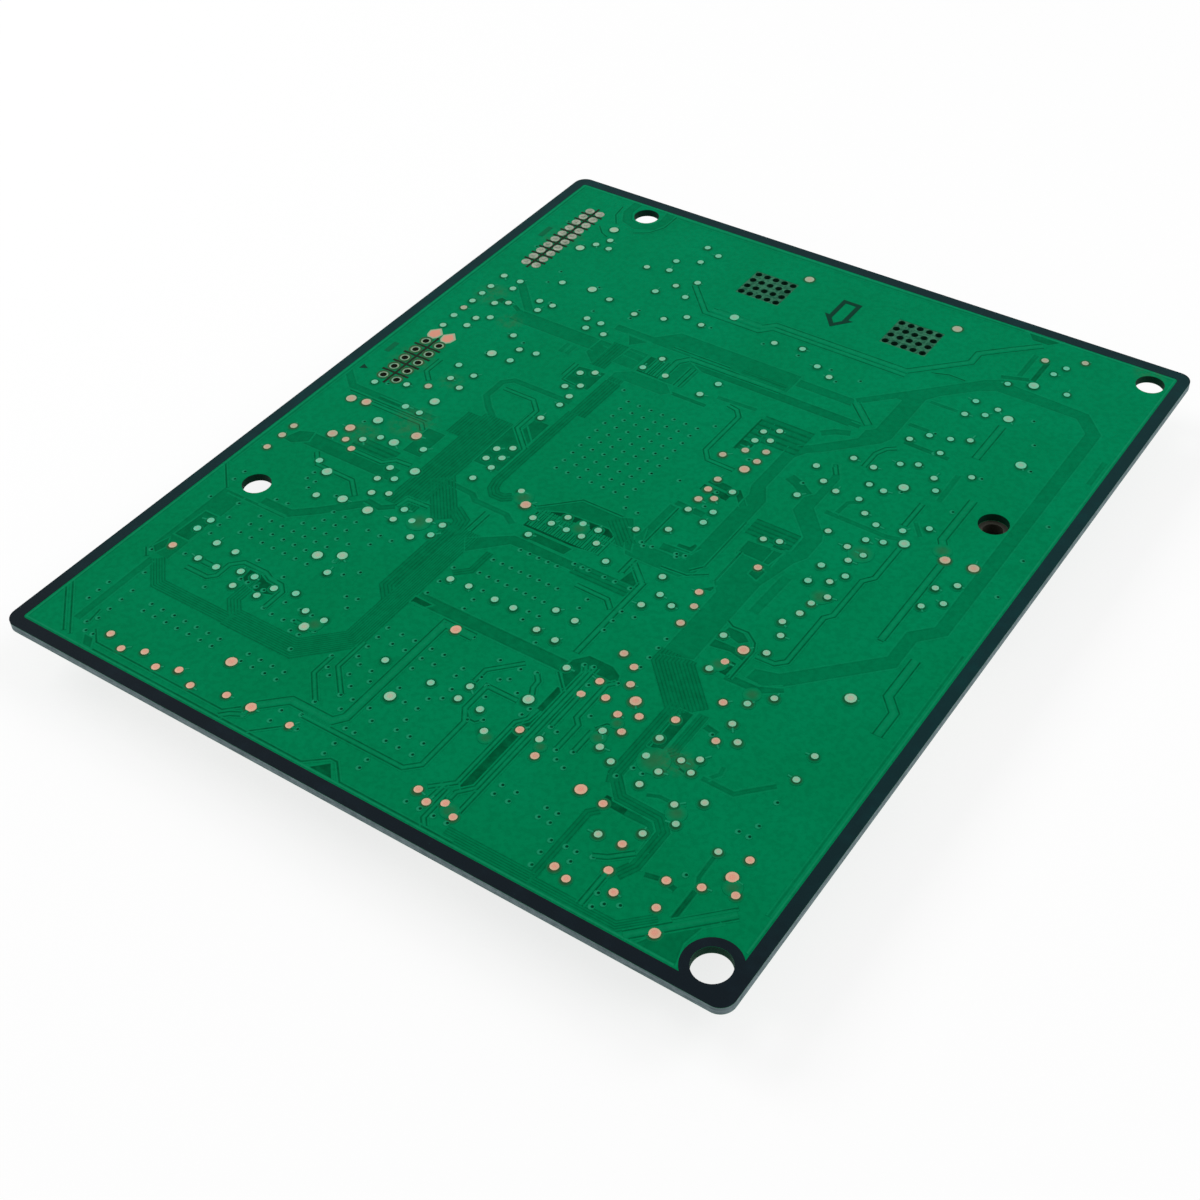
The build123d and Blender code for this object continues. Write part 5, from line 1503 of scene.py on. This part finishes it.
# %% Etched lines of the part side
PART_ETCHED = Relief("etch", "stain")
PART_BANDS = [  # width, then the points of the path
    (2.4, (78, 96.5), (78, 90), (72, 84), (72, 75)), (2.4, (92.5, 108), (97, 103), (97, 90), (93, 86)),
    (2, (81, 62), (86, 57), (86, 44)), (1.6, (10, 30), (10, 12), (14, 8), (30, 8)),
    (1.6, (104, 20), (104, 60)),
]
PART_BUNDLES = [  # count, pitch, then the points of the path
    (8, 0.5, (38, 56), (33, 51), (33, 30), (28, 25), (12, 25)),
    (8, 0.5, (61, 88), (66, 93), (66, 108), (60, 113.5)), (7, 0.5, (62, 60), (67, 55), (67, 48)),
    (6, 0.5, (37, 80), (34, 83), (20, 83), (14, 89), (14, 100)), (6, 0.5, (49, 59), (49, 46)),
    (5, 0.6, (58, 34), (58, 20), (64, 14)), (5, 0.6, (40, 34), (40, 22), (34, 16)),
    (6, 0.5, (36.5, 72), (32, 72)), (5, 0.5, (33, 88), (28, 93), (28, 102)),
    (5, 0.6, (64, 74), (70, 74), (74, 70)),
]
PART_TRACKS = [
    [(13, 112), (20, 112), (24, 116), (34, 116)], [(13, 108), (17, 104), (17, 98)],
    [(90, 48), (90, 36), (84, 30)], [(92, 60), (100, 60), (104, 64)], [(50, 97), (50, 106)],
    [(20, 42), (20, 34), (24, 30)], [(70, 40), (76, 40), (80, 44)], [(56, 40), (60, 40)],
    [(24, 60), (24, 68)], [(14, 72), (24, 80)],
]
for x, y in VIAS:
    via(PART_ETCHED, x, y, -1)
for width, *path in PART_BANDS:
    dark_band(PART_ETCHED, width, 0.5, path, -1)
for count, pitch, *path in PART_BUNDLES:
    bundle(PART_ETCHED, count, pitch, path, side=-1)
for path in PART_TRACKS:
    track(PART_ETCHED, 0.5, path, side=-1)
# painted highlight along the copper's edge, with etch under 0, as on the soldered side
edge_profile = both_sides([(0.0, 0.012, -0.75), (0.12, 0.004, -0.2), (0.2, 0.0, 0.0)])
strip(PART_ETCHED, EDGE_PATH, edge_profile, side=-1)
PART_ETCHED.made("part_side_tracks", LACQUER)

# %% [markdown]
# The board lies on a pale floor. The floor has to be white to the camera, in reflections and through
# clear things, and yet keep the board's soft shadow. So it mixes a plain pale surface with a white glow,
# and the kind of ray decides how much of the glow it sees. Seen from below it is clear, so that views of
# the part side work.

# %% Floor
FLOOR_SIDE = 8.0  # metres
FLOOR_GLOW = 1.1


def sees_white(start):
    """1 for the camera's rays and for those of reflections and of clear things."""
    camera = start.node("ShaderNodeLightPath", output="Is Camera Ray")
    glossy = start.node("ShaderNodeLightPath", output="Is Glossy Ray")
    clear = start.node("ShaderNodeLightPath", output="Is Transmission Ray")
    return camera.greater(glossy).greater(clear)


def pale():
    """White to the camera and in reflections, with the shadow kept near the board, and clear from below."""
    material = bpy.data.materials.new("floor")
    material.use_nodes = True
    tree = material.node_tree
    start = Signal(tree)
    shader = tree.nodes["Principled BSDF"]
    shader.inputs["Roughness"].default_value = 0.8
    shader.inputs["Specular IOR Level"].default_value = 0.1
    cloud = start.node("ShaderNodeTexNoise", None, {"Scale": 6.0})
    tone = cloud.blend(srgb(236, 236, 236), srgb(240, 240, 240))
    tree.links.new(tone.socket, shader.inputs["Base Color"])
    place = start.node("ShaderNodeNewGeometry", output="Position")
    away = start.node("ShaderNodeVectorMath", {"operation": "LENGTH"}, {0: place}, output="Value")
    share = sees_white(start) * (0.72 + away.between(0.2, 0.6) * 0.28)
    glow = start.node("ShaderNodeEmission", None, {"Color": (1, 1, 1, 1), "Strength": FLOOR_GLOW})
    mixed = start.node("ShaderNodeMixShader", None, {0: share, 1: Signal(tree, shader.outputs[0]), 2: glow})
    under = start.node("ShaderNodeNewGeometry", output="Backfacing")
    gone = start.node("ShaderNodeBsdfTransparent")
    whole = start.node("ShaderNodeMixShader", None, {0: under, 1: mixed, 2: gone})
    tree.links.new(whole.socket, tree.nodes["Material Output"].inputs["Surface"])
    return material


def floor():
    mesh = bpy.data.meshes.new("floor")
    corners = [(x * FLOOR_SIDE / 2, y * FLOOR_SIDE / 2, CAD_BOX[0].z) for x, y in SQUARE]
    mesh.from_pydata(corners, [], [(0, 1, 2, 3)])
    mesh.materials.append(pale())
    piece = bpy.data.objects.new("floor", mesh)
    bpy.context.scene.collection.objects.link(piece)


floor()
print("floor at", round(CAD_BOX[0].z / MM, 2))

# %% [markdown]
# Plain soft light comes from all round, at a level that lets the colours come out as they are written,
# while the camera and reflections see the sky as white. Two large lamps add a gentle key from the left
# and a fill from the right. The view transform stays Standard, which changes no colour.

# %% Light
SKY_LEVEL = 0.36


def sky():
    world = bpy.data.worlds.new("sky")
    bpy.context.scene.world = world
    world.use_nodes = True
    tree = world.node_tree
    strength = sees_white(Signal(tree)) * (1.0 - SKY_LEVEL) + SKY_LEVEL
    tree.links.new(strength.socket, tree.nodes["Background"].inputs["Strength"])
    tree.nodes["Background"].inputs["Color"].default_value = (1.0, 1.0, 1.0, 1.0)


def lamp(name, place, size, power):
    """A square soft lamp that faces the middle of the board."""
    data = bpy.data.lights.new(name, "AREA")
    data.size = size
    data.energy = power
    holder = bpy.data.objects.new(name, data)
    bpy.context.scene.collection.objects.link(holder)
    holder.location = place
    holder.rotation_euler = (-Vector(place)).to_track_quat("-Z", "Y").to_euler()


sky()
lamp("key_lamp", (-0.55, -0.1, 0.6), 0.4, 2.5)
lamp("fill_lamp", (0.5, 0.3, 0.65), 0.45, 2.4)
bpy.context.scene.view_settings.view_transform = "Standard"
print("light set")

# %% [markdown]
# The camera is held by hand about 23 cm from the board, looks down over its front right corner, and rolls
# a little. It is given by the place on the board that it aims at, the way back to it and its distance, so
# that each of the three can be changed by itself.

# %% Camera
AIM = on_top(67.78, 47.14)
CAMERA_WAY = Vector((0.41921, -0.59425, 0.68639))
CAMERA_DISTANCE = 0.23042
CAMERA_ROLL = 2.01
FOCAL_LENGTH = 53.58
SIDE_SHIFT = -0.0342


def camera():
    data = bpy.data.cameras.new("camera")
    data.lens = FOCAL_LENGTH
    data.shift_x = SIDE_SHIFT
    data.clip_start = 0.01
    seat = bpy.data.objects.new("camera", data)
    bpy.context.scene.collection.objects.link(seat)
    seat.location = AIM + CAMERA_WAY * CAMERA_DISTANCE
    level = (-CAMERA_WAY).to_track_quat("-Z", "Y")
    roll = Matrix.Rotation(math.radians(-CAMERA_ROLL), 4, "Z").to_quaternion()
    seat.rotation_euler = (level @ roll).to_euler()
    bpy.context.scene.camera = seat


camera()
print("camera at", [round(v, 4) for v in bpy.context.scene.camera.location])
